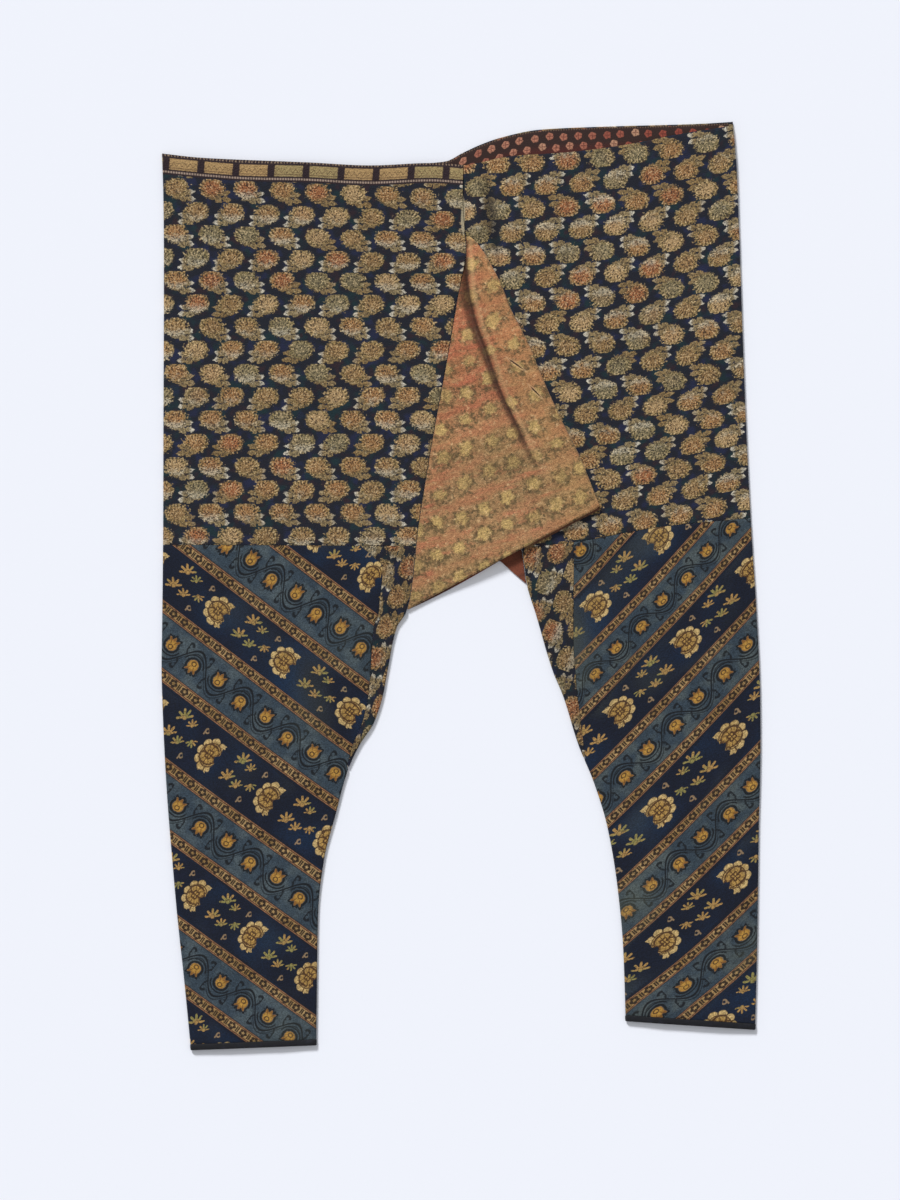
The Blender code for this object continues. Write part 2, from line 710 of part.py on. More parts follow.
def gusset_back(name, material):
    """The gusset's back: flat on the surface between the two back seams, with a cornered bottom."""
    over = np.array([0, 0.25, 0.5, NOTCH_SHARE, 0.9, 1.0])
    down = np.array([0, 0.04, 0.08, 0.12, 0.17, 0.25, 0.35, 0.5, 0.65, 0.8, 0.92, 1.0])
    foot = GUSSET_FOOT
    bottom_across = foot[LEFT].across + (foot[RIGHT].across - foot[LEFT].across) * over
    corners = (foot[LEFT], NOTCH, foot[RIGHT])
    bottom = np.interp(bottom_across, [c.across for c in corners], [c.height for c in corners])
    height = APEX_HEIGHT + (bottom - APEX_HEIGHT) * down[:, None]
    left = smooth(LEFT_LEG, "inner", height) + GUSSET_INSET
    right = smooth(RIGHT_LEG, "inner", height) - GUSSET_INSET
    across = left + (right - left) * over
    grid = np.stack([across, height, 0 * across], axis=-1)
    upper = grid.copy()
    upper[..., 2] = CLOTH
    return solid(name, grid, upper, material)


def gusset_tuck(name, material, front_under, front_end):
    """The gusset's cloth that is folded away under the pleat, as one padded solid. Its layers show
    only along the bottom, where two folded edges run one under the other."""
    share = np.array([0, 0.15, 0.35, 0.55, 0.78, 1.0])
    rows = []
    for line in front_under[2:]:
        first, last = line[0], line[-1]
        start = 0.5
        for _ in range(6):
            height = first[1] + (last[1] - first[1]) * start
            start = (smooth(RIGHT_LEG, "inner", height) + TUCK_INSET - first[0]) / (last[0] - first[0])
        over = start + (1 - start) * share
        spread = (line[:, 0] - first[0]) / (last[0] - first[0])
        rows.append(np.stack([np.interp(over, spread, line[:, k]) for k in range(3)], axis=-1))
    ends = np.interp(over, spread, front_end)
    body = np.array(rows)
    top = np.pad(body[..., 2] - TUCK_CLEARANCE, 1, mode="edge")
    beside = [top[i : i + len(body), j : j + len(share)] for i in range(3) for j in range(3)]
    body[..., 2] = np.min(beside, axis=0)
    floor = leg_top(RIGHT, body[..., 0], body[..., 1]) + SEAM
    body[..., 2] = np.maximum(body[..., 2], floor + 0.6)
    under = body.copy()
    under[..., 2] = floor
    lip, lip_under = [], []
    for row in TUCK_LIP:
        line = body[-1].copy()
        line[:, :2] += DOWN_WAY * row.out
        ground = leg_top(RIGHT, line[:, 0], line[:, 1]) + SEAM
        line[:, 2] = ground + (ends - SEAM - 0.1 - floor[-1]) * row.share
        lip.append(line)
        below = body[-1].copy()
        below[:, :2] += DOWN_WAY * row.under
        below[:, 2] = leg_top(RIGHT, below[:, 0], below[:, 1]) + SEAM
        lip_under.append(below)
    return solid(name, np.concatenate([body, lip]), np.concatenate([under, lip_under]), material)


def waist_facing(name, material):
    """The facing inside the back of the waist, seen above the lower front."""
    over = np.linspace(0, 1, 22)
    across = FACING_ENDS[0] + (FACING_ENDS[1] - FACING_ENDS[0]) * over
    top = smooth(WAIST_BACK, "height", across) - FACING_LIP
    height = top - FACING_DEPTH * np.array([0, 0.33, 0.67, 1.0])[:, None]
    grid = np.stack([across + 0 * height, height, 0 * height + CLOTH + SEAM + FACING_CLOTH], axis=-1)
    lower = grid.copy()
    lower[..., 2] -= FACING_CLOTH
    return solid(name, grid, lower, material)


def clear_scene():
    for thing in list(bpy.data.objects):
        bpy.data.objects.remove(thing)


def cloth_material(name, colour, roughness):
    material = bpy.data.materials.new(name)
    material.use_nodes = True
    shader = material.node_tree.nodes["Principled BSDF"]
    shader.inputs["Base Color"].default_value = (*colour, 1.0)
    shader.inputs["Roughness"].default_value = roughness
    shader.inputs["Metallic"].default_value = 0.0
    return material


def main():
    clear_scene()
    floral = cloth_material("floral_cloth", (0.10, 0.09, 0.08), 0.85)
    striped = cloth_material("striped_cloth", (0.05, 0.08, 0.12), 0.85)
    pink = cloth_material("gusset_cloth", (0.42, 0.22, 0.12), 0.8)
    dark = cloth_material("binding_cloth", (0.01, 0.012, 0.02), 0.8)
    for side, word in ((LEFT, "left"), (RIGHT, "right")):
        upper_leg(side, f"{word}_upper_leg", floral)
        calf(side, f"{word}_calf", striped)
        gore(side, f"{word}_gore", floral)
        binding(side, f"{word}_hem_binding", dark)
    folded_away = gusset_front("gusset_front", pink)
    gusset_tuck("gusset_tuck", pink, *folded_away)
    gusset_back("gusset_back", pink)
    waist_facing("waist_facing", cloth_material("facing_cloth", (0.12, 0.04, 0.03), 0.85))


main()
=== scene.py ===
"""Wide trousers laid flat: woven sprig cloth above, slanted flowered stripes on the calves, a
salmon gusset in the crotch with its front laid over in one pleat, and a dotted facing in the waist.

Shapes and patterns are in millimetres, and a mesh is in metres. +Y runs from the hems to the waist,
+Z is up off the surface, and left and right are as seen from above. Every piece of cloth is a thin
closed shell: a fine grid of points on its outer side and the same grid one cloth thickness further
in. Each point carries its place in the cloth's pattern as the attribute "cloth", so that stripes
and sprigs follow the surface.
"""

from collections import namedtuple

import bpy
import numpy as np
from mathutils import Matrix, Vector


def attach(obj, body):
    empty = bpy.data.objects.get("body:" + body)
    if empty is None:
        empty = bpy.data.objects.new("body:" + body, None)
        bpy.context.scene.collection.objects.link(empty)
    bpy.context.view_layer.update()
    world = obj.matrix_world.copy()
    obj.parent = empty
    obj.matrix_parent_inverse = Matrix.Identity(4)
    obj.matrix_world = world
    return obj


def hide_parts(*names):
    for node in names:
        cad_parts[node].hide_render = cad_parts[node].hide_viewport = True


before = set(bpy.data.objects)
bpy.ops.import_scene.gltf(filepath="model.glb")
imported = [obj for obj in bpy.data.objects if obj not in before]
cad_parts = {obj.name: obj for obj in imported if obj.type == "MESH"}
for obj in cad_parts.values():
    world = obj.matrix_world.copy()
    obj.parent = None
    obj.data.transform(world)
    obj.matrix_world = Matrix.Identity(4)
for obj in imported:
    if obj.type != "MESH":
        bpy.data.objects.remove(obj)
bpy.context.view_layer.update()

MM = 0.001
CLOTH = 1.4
FACING_CLOTH = 1.0
THINNER_IN_FOLD = 0.4
SEAM = 0.3
LEFT, RIGHT = -1, 1
SIDES = ((LEFT, "left"), (RIGHT, "right"))
# The photograph: its size in pixels, millimetres for one of them, and where the origin lies.
PHOTO_WIDTH, PHOTO_HEIGHT, PIXEL = 900, 1200, 1.026
PHOTO_X, PHOTO_Y, SHIFT_X = 459.5, 586.0, -1.6


def rows(columns, *values):
    """The rows of a table, with its columns named."""
    row = namedtuple("row", columns)
    return [row(*numbers) for numbers in values]


# The outline of each leg at a height: its outer fold, its inner edge, how high the cloth stands at
# the inner edge, and how high the outer fold is.
LEFT_LEG = rows(
    "height outer inner inner_rise fold",
    (446, -306.8, 3.0, 6.6, 4.0), (396, -305.3, 1.6, 7.0, 3.8), (345, -304.8, 4.8, 7.6, 3.8),
    (294, -304.8, -4.0, 7.0, 3.8), (233, -305.0, -14.4, 6.6, 3.8), (149, -305.3, -29.8, 6.2, 3.8),
    (64, -305.5, -43.6, 5.6, 3.8), (-26, -306.4, -56.0, 3.8, 3.8), (-42, -306.6, -65.7, 3.8, 3.8),
    (-85, -307.2, -75.0, 3.8, 3.8), (-114, -306.5, -80.5, 3.8, 3.8),
    (-141, -305.5, -89.8, 3.8, 3.8), (-163, -304.5, -104.0, 3.8, 3.8),
    (-190, -303.1, -116.5, 3.8, 3.8), (-233, -300.2, -128.3, 3.8, 3.8),
    (-281, -296.2, -140.6, 3.8, 3.8), (-335, -291.4, -146.6, 3.8, 3.8),
    (-407, -283.7, -147.8, 3.8, 3.8), (-480, -276.6, -148.6, 3.8, 3.8),
)
RIGHT_LEG = rows(
    "height outer inner inner_rise fold",
    (480, 278.3, -1.0, 4.9, 5.2), (431, 282.5, -1.2, 4.9, 5.0), (370, 285.0, 0.4, 5.0, 4.0),
    (358, 285.5, 6.2, 5.4, 3.8), (345, 286.0, 14.0, 5.6, 3.8), (325, 286.6, 21.5, 4.8, 3.8),
    (149, 293.0, 46.8, 4.6, 3.8), (30, 299.4, 63.6, 4.4, 3.8), (1, 301.4, 67.6, 3.8, 3.8),
    (-29, 303.1, 76.7, 3.8, 3.8), (-88, 306.1, 94.3, 3.8, 3.8), (-112, 306.8, 104.3, 3.8, 3.8),
    (-162, 307.2, 120.0, 3.8, 3.8), (-201, 306.6, 136.0, 3.8, 3.8),
    (-247, 305.4, 150.0, 3.8, 3.8), (-308, 304.6, 160.3, 3.8, 3.8),
    (-371, 303.6, 166.2, 3.8, 3.8), (-460, 301.4, 169.2, 3.8, 3.8),
)
LEGS = {LEFT: LEFT_LEG, RIGHT: RIGHT_LEG}
MIDDLE = rows(
    "height rise",
    (480, 5.2), (300, 6.0), (42, 5.8), (-200, 5.4), (-420, 5.0), (-480, 4.5),
)
EDGE_ROUNDING = 38.0
# Over how much height a leg closes below the crotch, and its back reaches the centre above the
# gusset's apex.
CROTCH_CLOSING, CENTRE_CLOSING = 10, 20

WAIST_FRONT = {
    LEFT: rows(
        "across height",
        (-307, 443), (-268, 439), (-216, 435.4), (-165, 434.4), (-93, 431), (-32, 433.4),
        (6, 431),
    ),
    RIGHT: rows(
        "across height",
        (-4, 430.6), (6, 431.5), (50, 440.4), (114, 445), (173, 453), (220, 462.4), (279, 472),
    ),
}
WAIST_BACK = rows(
    "across height",
    (-307, 443.6), (-268, 439.4), (-165, 434.8), (-93, 431.4), (-32, 433.8), (-16, 435.4),
    (2, 444.3), (20, 452.6), (40, 459.6), (81, 468), (143, 471), (245, 474), (280, 476.1),
)
KNEE_SEAM = {
    LEFT: rows(
        "across height",
        (-310, 42.2), (-40, 41),
    ),
    RIGHT: rows(
        "across height",
        (50, 38), (116, 45), (204, 60.5), (300, 70),
    ),
}
HEM = {
    LEFT: rows(
        "across height",
        (-280, -476.1), (-146, -470.8),
    ),
    RIGHT: rows(
        "across height",
        (166, -446), (304, -455.2),
    ),
}
BINDING_LENGTH = 6.0
BINDING_SHAPE = rows(
    "share proud wall",
    (1.0, 0.1, 1.2), (0.9, 0.35, 1.4), (0.75, 0.45, 1.5), (0.5, 0.5, 1.5), (0.2, 0.45, 1.5),
    (0.07, 0.3, 1.4), (0.0, 0.0, 1.1),
)

GORES = {
    LEFT: rows(
        "height width",
        (42, 58), (31, 44), (20, 32), (-14, 30), (-55, 22.5), (-107, 16.5), (-141, 13), (-163, 8),
        (-186, 3),
    ),
    RIGHT: rows(
        "height width",
        (46, 54), (-9, 46), (-29, 39.5), (-59, 31), (-88, 24), (-112, 16), (-136, 11.5),
        (-158, 7.5), (-176, 3),
    ),
}
GORE_TIP = {LEFT: -186.0, RIGHT: -176.0}
GORE_TIP_CLEARANCE = 2.5

Corner = namedtuple("Corner", "across height")
CROTCH = {LEFT: Corner(-56.0, -25.7), RIGHT: Corner(67.6, 1.0)}
GUSSET_FOOT = {LEFT: Corner(-55.4, -24.4), RIGHT: Corner(67.0, 2.4)}
NOTCH = Corner(40.9, 26.0)
PLEAT_TIP = Corner(142.5, 81.0)
APEX_HEIGHT = 350.0
FRONT_APEX_HEIGHT = 358.0
CENTRE_BACK = 1.5
GUSSET_INSET = 0.6
PLEAT_FOLD = rows(
    "height across",
    (359, 8), (352, 16), (327, 32), (307, 42), (286, 50), (263, 61.5), (243, 71.5), (220, 80.5),
    (166, 105), (135, 120.5), (81, 142.5),
)
CREASE = rows(
    "height across depth",
    (345, 4, 0.4), (325, 5, 2.6), (307, 6.5, 4.6), (273, 14, 6.0), (238, 26.6, 6.2),
    (202, 39, 5.2), (169, 54.5, 3.6), (130, 73, 1.4), (90, 92, 0.0),
)
CREASE_WIDTH = 4.2
PLEAT_TOP = rows(
    "down rise",
    (0.0, 8.4), (0.15, 10.2), (0.4, 11.6), (0.8, 11.4), (1.0, 11.0),
)
PLEAT_ROUNDING = 3.4
ROOM_FOR_FOLD = 4.5
BOTTOM_ROUNDING = 2.2
BOTTOM_TURN = 0.0073
DOWN_WAY = np.array([0.4735, -0.8808])
PLEAT_CORNER_LIFT = 2.6
OPEN_FROM = 56.0
TUCK_INSET = 1.5
TUCK_CLEARANCE = 0.9
TUCK_LIP = rows(
    "out share under",
    (0.4, 1.0, 0.3), (1.8, 1.0, 0.5), (2.9, 0.97, 0.7), (3.3, 0.78, 0.9), (2.4, 0.62, 1.1),
    (2.4, 0.54, 1.3), (4.0, 0.44, 1.5), (4.4, 0.3, 1.7), (4.3, 0.16, 1.9), (3.6, 0.02, 2.1),
)
# The ridge above the pleat: where it begins and sinks, over how much height, and by what share.
RIDGE_ACROSS, RIDGE_WIDTH, RIDGE_RISE = 16.0, 6.5, 3.0
RIDGE_BEGINS, RIDGE_BEGIN_OVER, RIDGE_SINKS, RIDGE_SINK_OVER, RIDGE_SINK = 353, 12, 360, 70, 0.6
FACING_ENDS = (-13.5, 274.0)
FACING_DEPTH = 36.0
FACING_LIP = 1.2


def photo_x(pixel):
    """Where across a column of the photograph lies."""
    return (pixel - PHOTO_X) * PIXEL + SHIFT_X


def photo_y(pixel):
    """How far up a row of the photograph lies."""
    return (PHOTO_Y - pixel) * PIXEL


def in_photo(across, height):
    """The photograph's column and row of a place."""
    return (across - SHIFT_X) / PIXEL + PHOTO_X, PHOTO_Y - height / PIXEL


def smooth(rows, column, at):
    """A named column read between its rows by a cubic that never overshoots them."""
    table = np.array(sorted(rows, key=lambda row: row[0]), float)
    x, y = table[:, 0], table[:, rows[0]._fields.index(column)]
    step = np.diff(x)
    slope = np.diff(y) / step
    lean = np.zeros_like(y)
    same_way = slope[1:] * slope[:-1] > 0
    weight_a, weight_b = 2 * step[1:] + step[:-1], step[1:] + 2 * step[:-1]
    with np.errstate(divide="ignore", invalid="ignore"):
        mean = (weight_a + weight_b) / (weight_a / slope[:-1] + weight_b / slope[1:])
    lean[1:-1] = np.where(same_way, mean, 0.0)
    lean[0], lean[-1] = slope[0], slope[-1]
    at = np.clip(np.asarray(at, float), x[0], x[-1])
    k = np.clip(np.searchsorted(x, at) - 1, 0, len(step) - 1)
    h = step[k]
    t = (at - x[k]) / h
    return (
        y[k] * (1 + 2 * t) * (1 - t) ** 2
        + lean[k] * h * t * (1 - t) ** 2
        + y[k + 1] * t * t * (3 - 2 * t)
        + lean[k + 1] * h * t * t * (t - 1)
    )


def eased(t):
    """0 to 1 with a soft start and end."""
    t = np.clip(t, 0.0, 1.0)
    return t * t * (3 - 2 * t)


def bell(distance, width):
    """1 at no distance, falling away softly on both sides."""
    return np.exp(-((distance / width) ** 2))


# The shape of the legs.


def closed_share(side, height):
    """How far a leg is folded shut at its inner edge: 0 beside the gusset, 1 below the crotch."""
    return eased((CROTCH[side].height - height) / CROTCH_CLOSING)


def pleat_edge(height):
    """Where across the pleat's fold lies at a height."""
    return smooth(PLEAT_FOLD, "across", height)


def pleat_ridge(across, height):
    """A low ridge that runs on above the pleat: a bell across, begun softly and sinking upwards."""
    begun = eased((height - RIDGE_BEGINS) / RIDGE_BEGIN_OVER)
    sunk = RIDGE_SINK * eased((height - RIDGE_SINKS) / RIDGE_SINK_OVER)
    return RIDGE_RISE * bell(across - RIDGE_ACROSS, RIDGE_WIDTH) * (begun * (1 - sunk))


def inner_line(side, height, walk):
    """A leg's inner edge: the same in front and behind, but behind it reaches the centre back
    above the gusset's apex."""
    front = smooth(LEGS[side], "inner", height)
    centre = np.maximum(side * front, side * CENTRE_BACK) * side
    back = front + (centre - front) * eased((height - APEX_HEIGHT) / CENTRE_CLOSING)
    return np.where(walk > 0, front, back)


def leg_top(side, across, height):
    """How high the upper layer's outer side stands over a leg, away from its rounded edges."""
    rows = LEGS[side]
    outer, inner = smooth(rows, "outer", height), smooth(rows, "inner", height)
    fold, middle = smooth(rows, "fold", height), smooth(MIDDLE, "rise", height)
    inner_rise = smooth(rows, "inner_rise", height)
    from_outer = np.abs(outer - across) - fold / 2
    from_inner = np.abs(across - inner) - fold / 2 * closed_share(side, height)
    rise = (
        middle
        + (fold - middle) * (1 - eased(from_outer / EDGE_ROUNDING))
        + (inner_rise - middle) * (1 - eased(from_inner / EDGE_ROUNDING))
    )
    if side == RIGHT:
        rise = rise + pleat_ridge(across, height)
    return rise


def lengths_round(side, height):
    """Lengths round half of a leg's section: the inner fold's arc, how far it is to the outer
    fold, and the outer fold's arc."""
    rows = LEGS[side]
    radius = smooth(rows, "fold", height) / 2
    inner_radius = radius * closed_share(side, height)
    width = np.abs(smooth(rows, "outer", height) - smooth(rows, "inner", height))
    inner_arc = np.pi / 2 * inner_radius
    return inner_arc, inner_arc + width - radius - inner_radius, np.pi / 2 * radius


def leg_section(side, height, walk):
    """Points on a leg's outer side: along |walk| a quarter turn at the inner edge, a flat stretch
    and a quarter turn at the outer fold. walk is positive over the front and negative behind."""
    rows = LEGS[side]
    radius = smooth(rows, "fold", height) / 2
    closed = closed_share(side, height)
    inner_radius = radius * closed
    inner_arc, to_fold, arc = lengths_round(side, height)
    along = np.abs(walk)
    turn_in = np.clip(along / np.maximum(inner_arc, 1e-9), 0, 1) * np.pi / 2
    turn_out = np.clip((along - to_fold) / arc, 0, 1) * np.pi / 2
    out = (
        inner_radius * (1 - np.cos(turn_in))
        + np.clip(along - inner_arc, 0, to_fold - inner_arc)
        + radius * np.sin(turn_out)
    )
    inner = inner_line(side, height, walk)
    stretch = np.abs(smooth(rows, "outer", height) - inner)
    width = np.abs(smooth(rows, "outer", height) - smooth(rows, "inner", height))
    across = inner + side * out * stretch / width
    drop = radius * np.maximum((1 - np.sin(turn_in)) * closed, 1 - np.cos(turn_out))
    up = np.where(walk > 0, leg_top(side, across, height) - drop, drop)
    return np.stack(np.broadcast_arrays(across, height, up), axis=-1)


Columns = namedtuple("Columns", "near flat far face")


def spread(count, fine):
    """Even shares from 0 to 1 with a few more close to both ends, the closest a fine share away."""
    inside = np.linspace(0, 1, count)[1:-1]
    ends = np.array([0.0, fine, 2.5 * fine])
    inside = inside[(inside > 4 * fine) & (inside < 1 - 4 * fine)]
    return np.concatenate([ends, inside, 1 - ends[::-1]])


def half_columns(near, flat, far):
    """Columns over half a leg: shares along the inner arc, the flat stretch and the outer arc."""
    near, far = np.linspace(0, 1, near + 1), np.linspace(0, 1, far + 1)[1:]
    flat = spread(flat, 0.004)[1:]
    return (
        np.concatenate([near, np.ones(len(flat) + len(far))]),
        np.concatenate([0 * near, flat, np.ones(len(far))]),
        np.concatenate([np.zeros(len(near) + len(flat)), far]),
    )


def round_columns(near, front_flat, back_flat, far):
    """Columns over the front, round the outer fold and back under the leg."""
    front, back = half_columns(near, front_flat, far), half_columns(near, back_flat, far)
    face = np.concatenate([np.ones(len(front[0])), -np.ones(len(back[0]) - 1)])
    both = [np.concatenate([one, other[-2::-1]]) for one, other in zip(front, back)]
    return Columns(*both, face)


def walk_round(side, height, columns, start, near_length):
    """Distances of the columns round a leg, for a piece that starts at a distance from the inner
    edge, with all of the shift near the start."""
    inner_arc, to_fold, arc = lengths_round(side, height)
    near = np.maximum(inner_arc, near_length)
    walk = near * columns.near + (to_fold - near) * columns.flat + arc * columns.far
    walk = walk + start * (1 - np.clip(walk / to_fold, 0, 1))
    return walk * columns.face


def edge_line(table, shift=0.0):
    """An edge of a piece: its height at a distance across, the same over the front and the back."""
    return lambda across, walk: smooth(table, "height", across) + shift


def met_by(side, walk_at, edge, first_guess):
    """The height at which each column of a leg meets an edge."""
    height = first_guess + 0 * walk_at(np.array(first_guess))
    for _ in range(8):
        walk = walk_at(height)
        height = edge(leg_section(side, height, walk)[..., 0], walk)
    return height


def unit(vectors):
    """Vectors made one long."""
    length = np.linalg.norm(vectors, axis=-1, keepdims=True)
    return vectors / np.maximum(length, 1e-9)


def tangents(grid, axis, ring=False):
    """Unit tangents along one way of a grid: the bisector of the two edges at each point."""
    grid = np.moveaxis(grid, axis, 0)
    edges = unit(np.roll(grid, -1, axis=0) - grid) if ring else unit(np.diff(grid, axis=0))
    if ring:
        both = edges + np.roll(edges, 1, axis=0)
    else:
        both = np.concatenate([edges[:1], edges[1:] + edges[:-1], edges[-1:]])
    return np.moveaxis(unit(both), 0, axis)


def walled(grid, thickness, outwards, ring=False):
    """The inner side of a wall: each point moved in by the thickness along the grid's normal."""
    normal = unit(np.cross(tangents(grid, 0), tangents(grid, 1, ring)))
    if (normal * outwards).sum() < 0:
        normal = -normal
    return grid - thickness * normal


def away_from_leg(grid):
    """Roughly outwards: up on the upper layer of a leg, and down on the lower one."""
    out = np.zeros_like(grid)
    out[..., 2] = np.where(grid[..., 2] > CLOTH, 1.0, -1.0)
    return out


def walled_leg(grid, flat_grid):
    """The inner side of a leg's wall, worked out on the smooth leg and moved with the wrinkles."""
    radius = LEFT_LEG[0].fold / 2
    in_fold = np.clip(1 - (flat_grid[..., 2:] / radius - 1) ** 2, 0, 1)
    inner = walled(flat_grid, CLOTH - THINNER_IN_FOLD * in_fold, away_from_leg(flat_grid))
    return inner + (grid - flat_grid)


# Wrinkles: each is a soft trough or ridge along a bowed line between two points of the photograph,
# in pixels, fading towards its ends. rise is negative for a trough.


def wrinkled(wrinkles, across, height):
    """The sum of the wrinkles' rises: across each line a bell, and along it an arch."""
    rise = np.zeros(np.broadcast(across, height).shape)
    for w in wrinkles:
        start = np.array([photo_x(w.from_x), photo_y(w.from_y)])
        way = np.array([photo_x(w.to_x), photo_y(w.to_y)]) - start
        length = np.hypot(*way)
        way = way / length
        along = ((across - start[0]) * way[0] + (height - start[1]) * way[1]) / length
        off = (height - start[1]) * way[0] - (across - start[0]) * way[1]
        arch = np.clip(4 * along * (1 - along), 0, None)
        rise = rise + w.rise * bell(off - w.bow * arch, w.width) * eased(arch * 1.6)
    return rise


def swell(across, height, seed):
    """Slow uneven rises and dips of a laid cloth: a sum of a few long waves, from -1 to 1."""
    draw = np.random.default_rng(seed)
    total = np.zeros(np.broadcast(across, height).shape)
    for _ in range(9):
        turn = draw.uniform(0, 2 * np.pi)
        length = draw.uniform(38, 130)
        phase = draw.uniform(0, 2 * np.pi)
        total = total + np.sin(
            (across * np.cos(turn) + height * np.sin(turn)) * 2 * np.pi / length + phase
        ) * (length / 130) ** 0.7
    return total / 4


LEG_WRINKLES = {
    LEFT: rows(
        "from_x from_y to_x to_y bow width rise",
        (458, 205, 425, 330, 6, 9, -0.9), (440, 190, 395, 300, -5, 14, 0.5),
        (300, 165, 330, 330, 5, 16, -0.35), (235, 200, 215, 420, 6, 20, -0.35),
        (405, 420, 330, 530, -6, 12, -0.4), (260, 480, 370, 505, 4, 14, -0.3),
    ),
    RIGHT: rows(
        "from_x from_y to_x to_y bow width rise",
        (487, 178, 500, 262, -2, 6, -2.0), (476, 172, 486, 240, 0, 5, 1.1),
        (512, 170, 545, 300, 5, 12, 0.7), (520, 185, 620, 330, -8, 14, -0.5),
        (575, 160, 660, 250, 6, 16, -0.45), (600, 330, 640, 480, 8, 16, -0.45),
        (680, 180, 700, 420, -8, 20, -0.4), (560, 400, 590, 470, 4, 12, -0.6),
    ),
}
CALF_WRINKLES = {
    LEFT: rows(
        "from_x from_y to_x to_y bow width rise",
        (390, 620, 330, 760, 8, 10, -0.5), (180, 640, 200, 820, 6, 14, -0.4),
        (300, 800, 215, 900, 6, 12, -0.5), (305, 900, 220, 985, -5, 9, 0.5),
        (205, 960, 305, 1020, 4, 9, -0.5),
    ),
    RIGHT: rows(
        "from_x from_y to_x to_y bow width rise",
        (560, 650, 620, 800, -8, 10, -0.5), (740, 600, 735, 800, 5, 14, -0.4),
        (640, 830, 735, 880, -5, 10, -0.5), (635, 900, 740, 960, 5, 9, 0.5),
        (650, 985, 730, 940, 4, 9, -0.4),
    ),
}


# How a laid leg rises and dips, as shares of the swell and of the wrinkles, and how deep and how
# near a seam draws the cloth down, which it does only where the cloth is higher than MIDWAY.
FRONT_SWELL, BACK_LIFT, BACK_SWELL, BACK_MOST = 0.42, 0.28, 0.5, 1.6
OUTER_FADE, INNER_FADE, SEAM_DRAW, SEAM_REACH, MIDWAY = 14, 8, -0.55, 1.8, 2.5
BACK_SEED = 50


def lay(side, grid, walk, wrinkles, seed, edge_distance):
    """Wrinkles a leg's grid: the front rises and dips, the back only lifts a little off the surface
    it lies on, and both die away at the folded edges. A seam draws the cloth down beside it."""
    across, height, up = grid[..., 0], grid[..., 1], grid[..., 2]
    inner_arc, to_fold, _ = lengths_round(side, height)
    closed = closed_share(side, height)
    from_inner = (np.abs(walk) - inner_arc * closed) / INNER_FADE + 1 - closed
    room = eased((to_fold - np.abs(walk)) / OUTER_FADE) * eased(from_inner)
    creases = wrinkled(wrinkles, across, height)
    front = creases + FRONT_SWELL * swell(across, height, seed)
    back = creases + BACK_SWELL * swell(across, height, seed + BACK_SEED)
    back = BACK_LIFT * np.clip(back, 0, BACK_MOST)
    drawn = SEAM_DRAW * np.exp(-edge_distance / SEAM_REACH) * (up > MIDWAY)
    laid = grid.copy()
    laid[..., 2] = up + np.where(walk > 0, front * room + drawn, back * room)
    return laid


# Making meshes.

SHARP_FROM = 50


def link(name, data):
    """A new object in the scene."""
    body = bpy.data.objects.new(name, data)
    bpy.context.scene.collection.objects.link(body)
    return body


def shell(name, outer, inner, cloth, material, ring=False, gaps=None):
    """One closed body between two grids. cloth is each point's place in the pattern, ring joins the
    last column to the first, and gaps marks the squares that are left out."""
    rows, cols = outer.shape[:2]
    count = rows * cols
    index = np.arange(count).reshape(rows, cols)
    if ring:
        index = np.concatenate([index, index[:, :1]], axis=1)
    faces = np.stack([index[:-1, :-1], index[1:, :-1], index[1:, 1:], index[:-1, 1:]], axis=-1)
    if gaps is not None:
        faces = faces[~gaps]
    faces = faces.reshape(-1, 4)
    start, end = faces.ravel(), np.roll(faces, -1, axis=1).ravel()
    rim = ~np.isin(start * count + end, end * count + start)
    start, end = start[rim], end[rim]
    rim_faces = np.stack([end, start, start + count, end + count], axis=-1)
    faces = np.concatenate([faces, faces[:, ::-1] + count, rim_faces])
    points = np.concatenate([outer.reshape(-1, 3), inner.reshape(-1, 3)]) * MM
    a, b, c, d = (points[faces[:, k]] for k in range(4))
    if (np.cross(c - a, d - b) * (a + b + c + d)).sum() < 0:
        faces = faces[:, ::-1]
    mesh = bpy.data.meshes.new(name)
    mesh.vertices.add(len(points))
    mesh.vertices.foreach_set("co", points.ravel())
    mesh.loops.add(faces.size)
    mesh.loops.foreach_set("vertex_index", faces.ravel().astype(np.int32))
    mesh.polygons.add(len(faces))
    mesh.polygons.foreach_set("loop_start", np.arange(0, faces.size, 4, dtype=np.int32))
    mesh.update(calc_edges=True)
    mesh.validate()
    place = mesh.attributes.new("cloth", "FLOAT_VECTOR", "POINT")
    both_sides = np.concatenate([cloth.reshape(-1, 3)] * 2)
    place.data.foreach_set("vector", both_sides.astype(np.float32).ravel())
    mesh.materials.append(material)
    body = link(name, mesh)
    mesh.shade_smooth()
    mesh.set_sharp_from_angle(angle=np.radians(SHARP_FROM))
    return body


def pattern(*parts):
    """The parts of each point's place, side by side."""
    return np.stack(np.broadcast_arrays(*parts), axis=-1)


def unrolled(flat, walk, edge):
    """How far across each point lies once the back is turned out over an edge."""
    return np.where(walk > 0, flat[..., 0], 2 * edge - flat[..., 0])


# The pieces. The seeds of their swells, before a leg's side is added.
LEG_SEED, CALF_SEED, GUSSET_SEED, GUSSET_BACK_SEED, FACING_SEED = 11, 21, 31, 41, 51
# About how many rows of squares the calf and the gore beside it have above the crotch, and how
# many below it.
ROWS_ABOVE, ROWS_BELOW = 28, 64


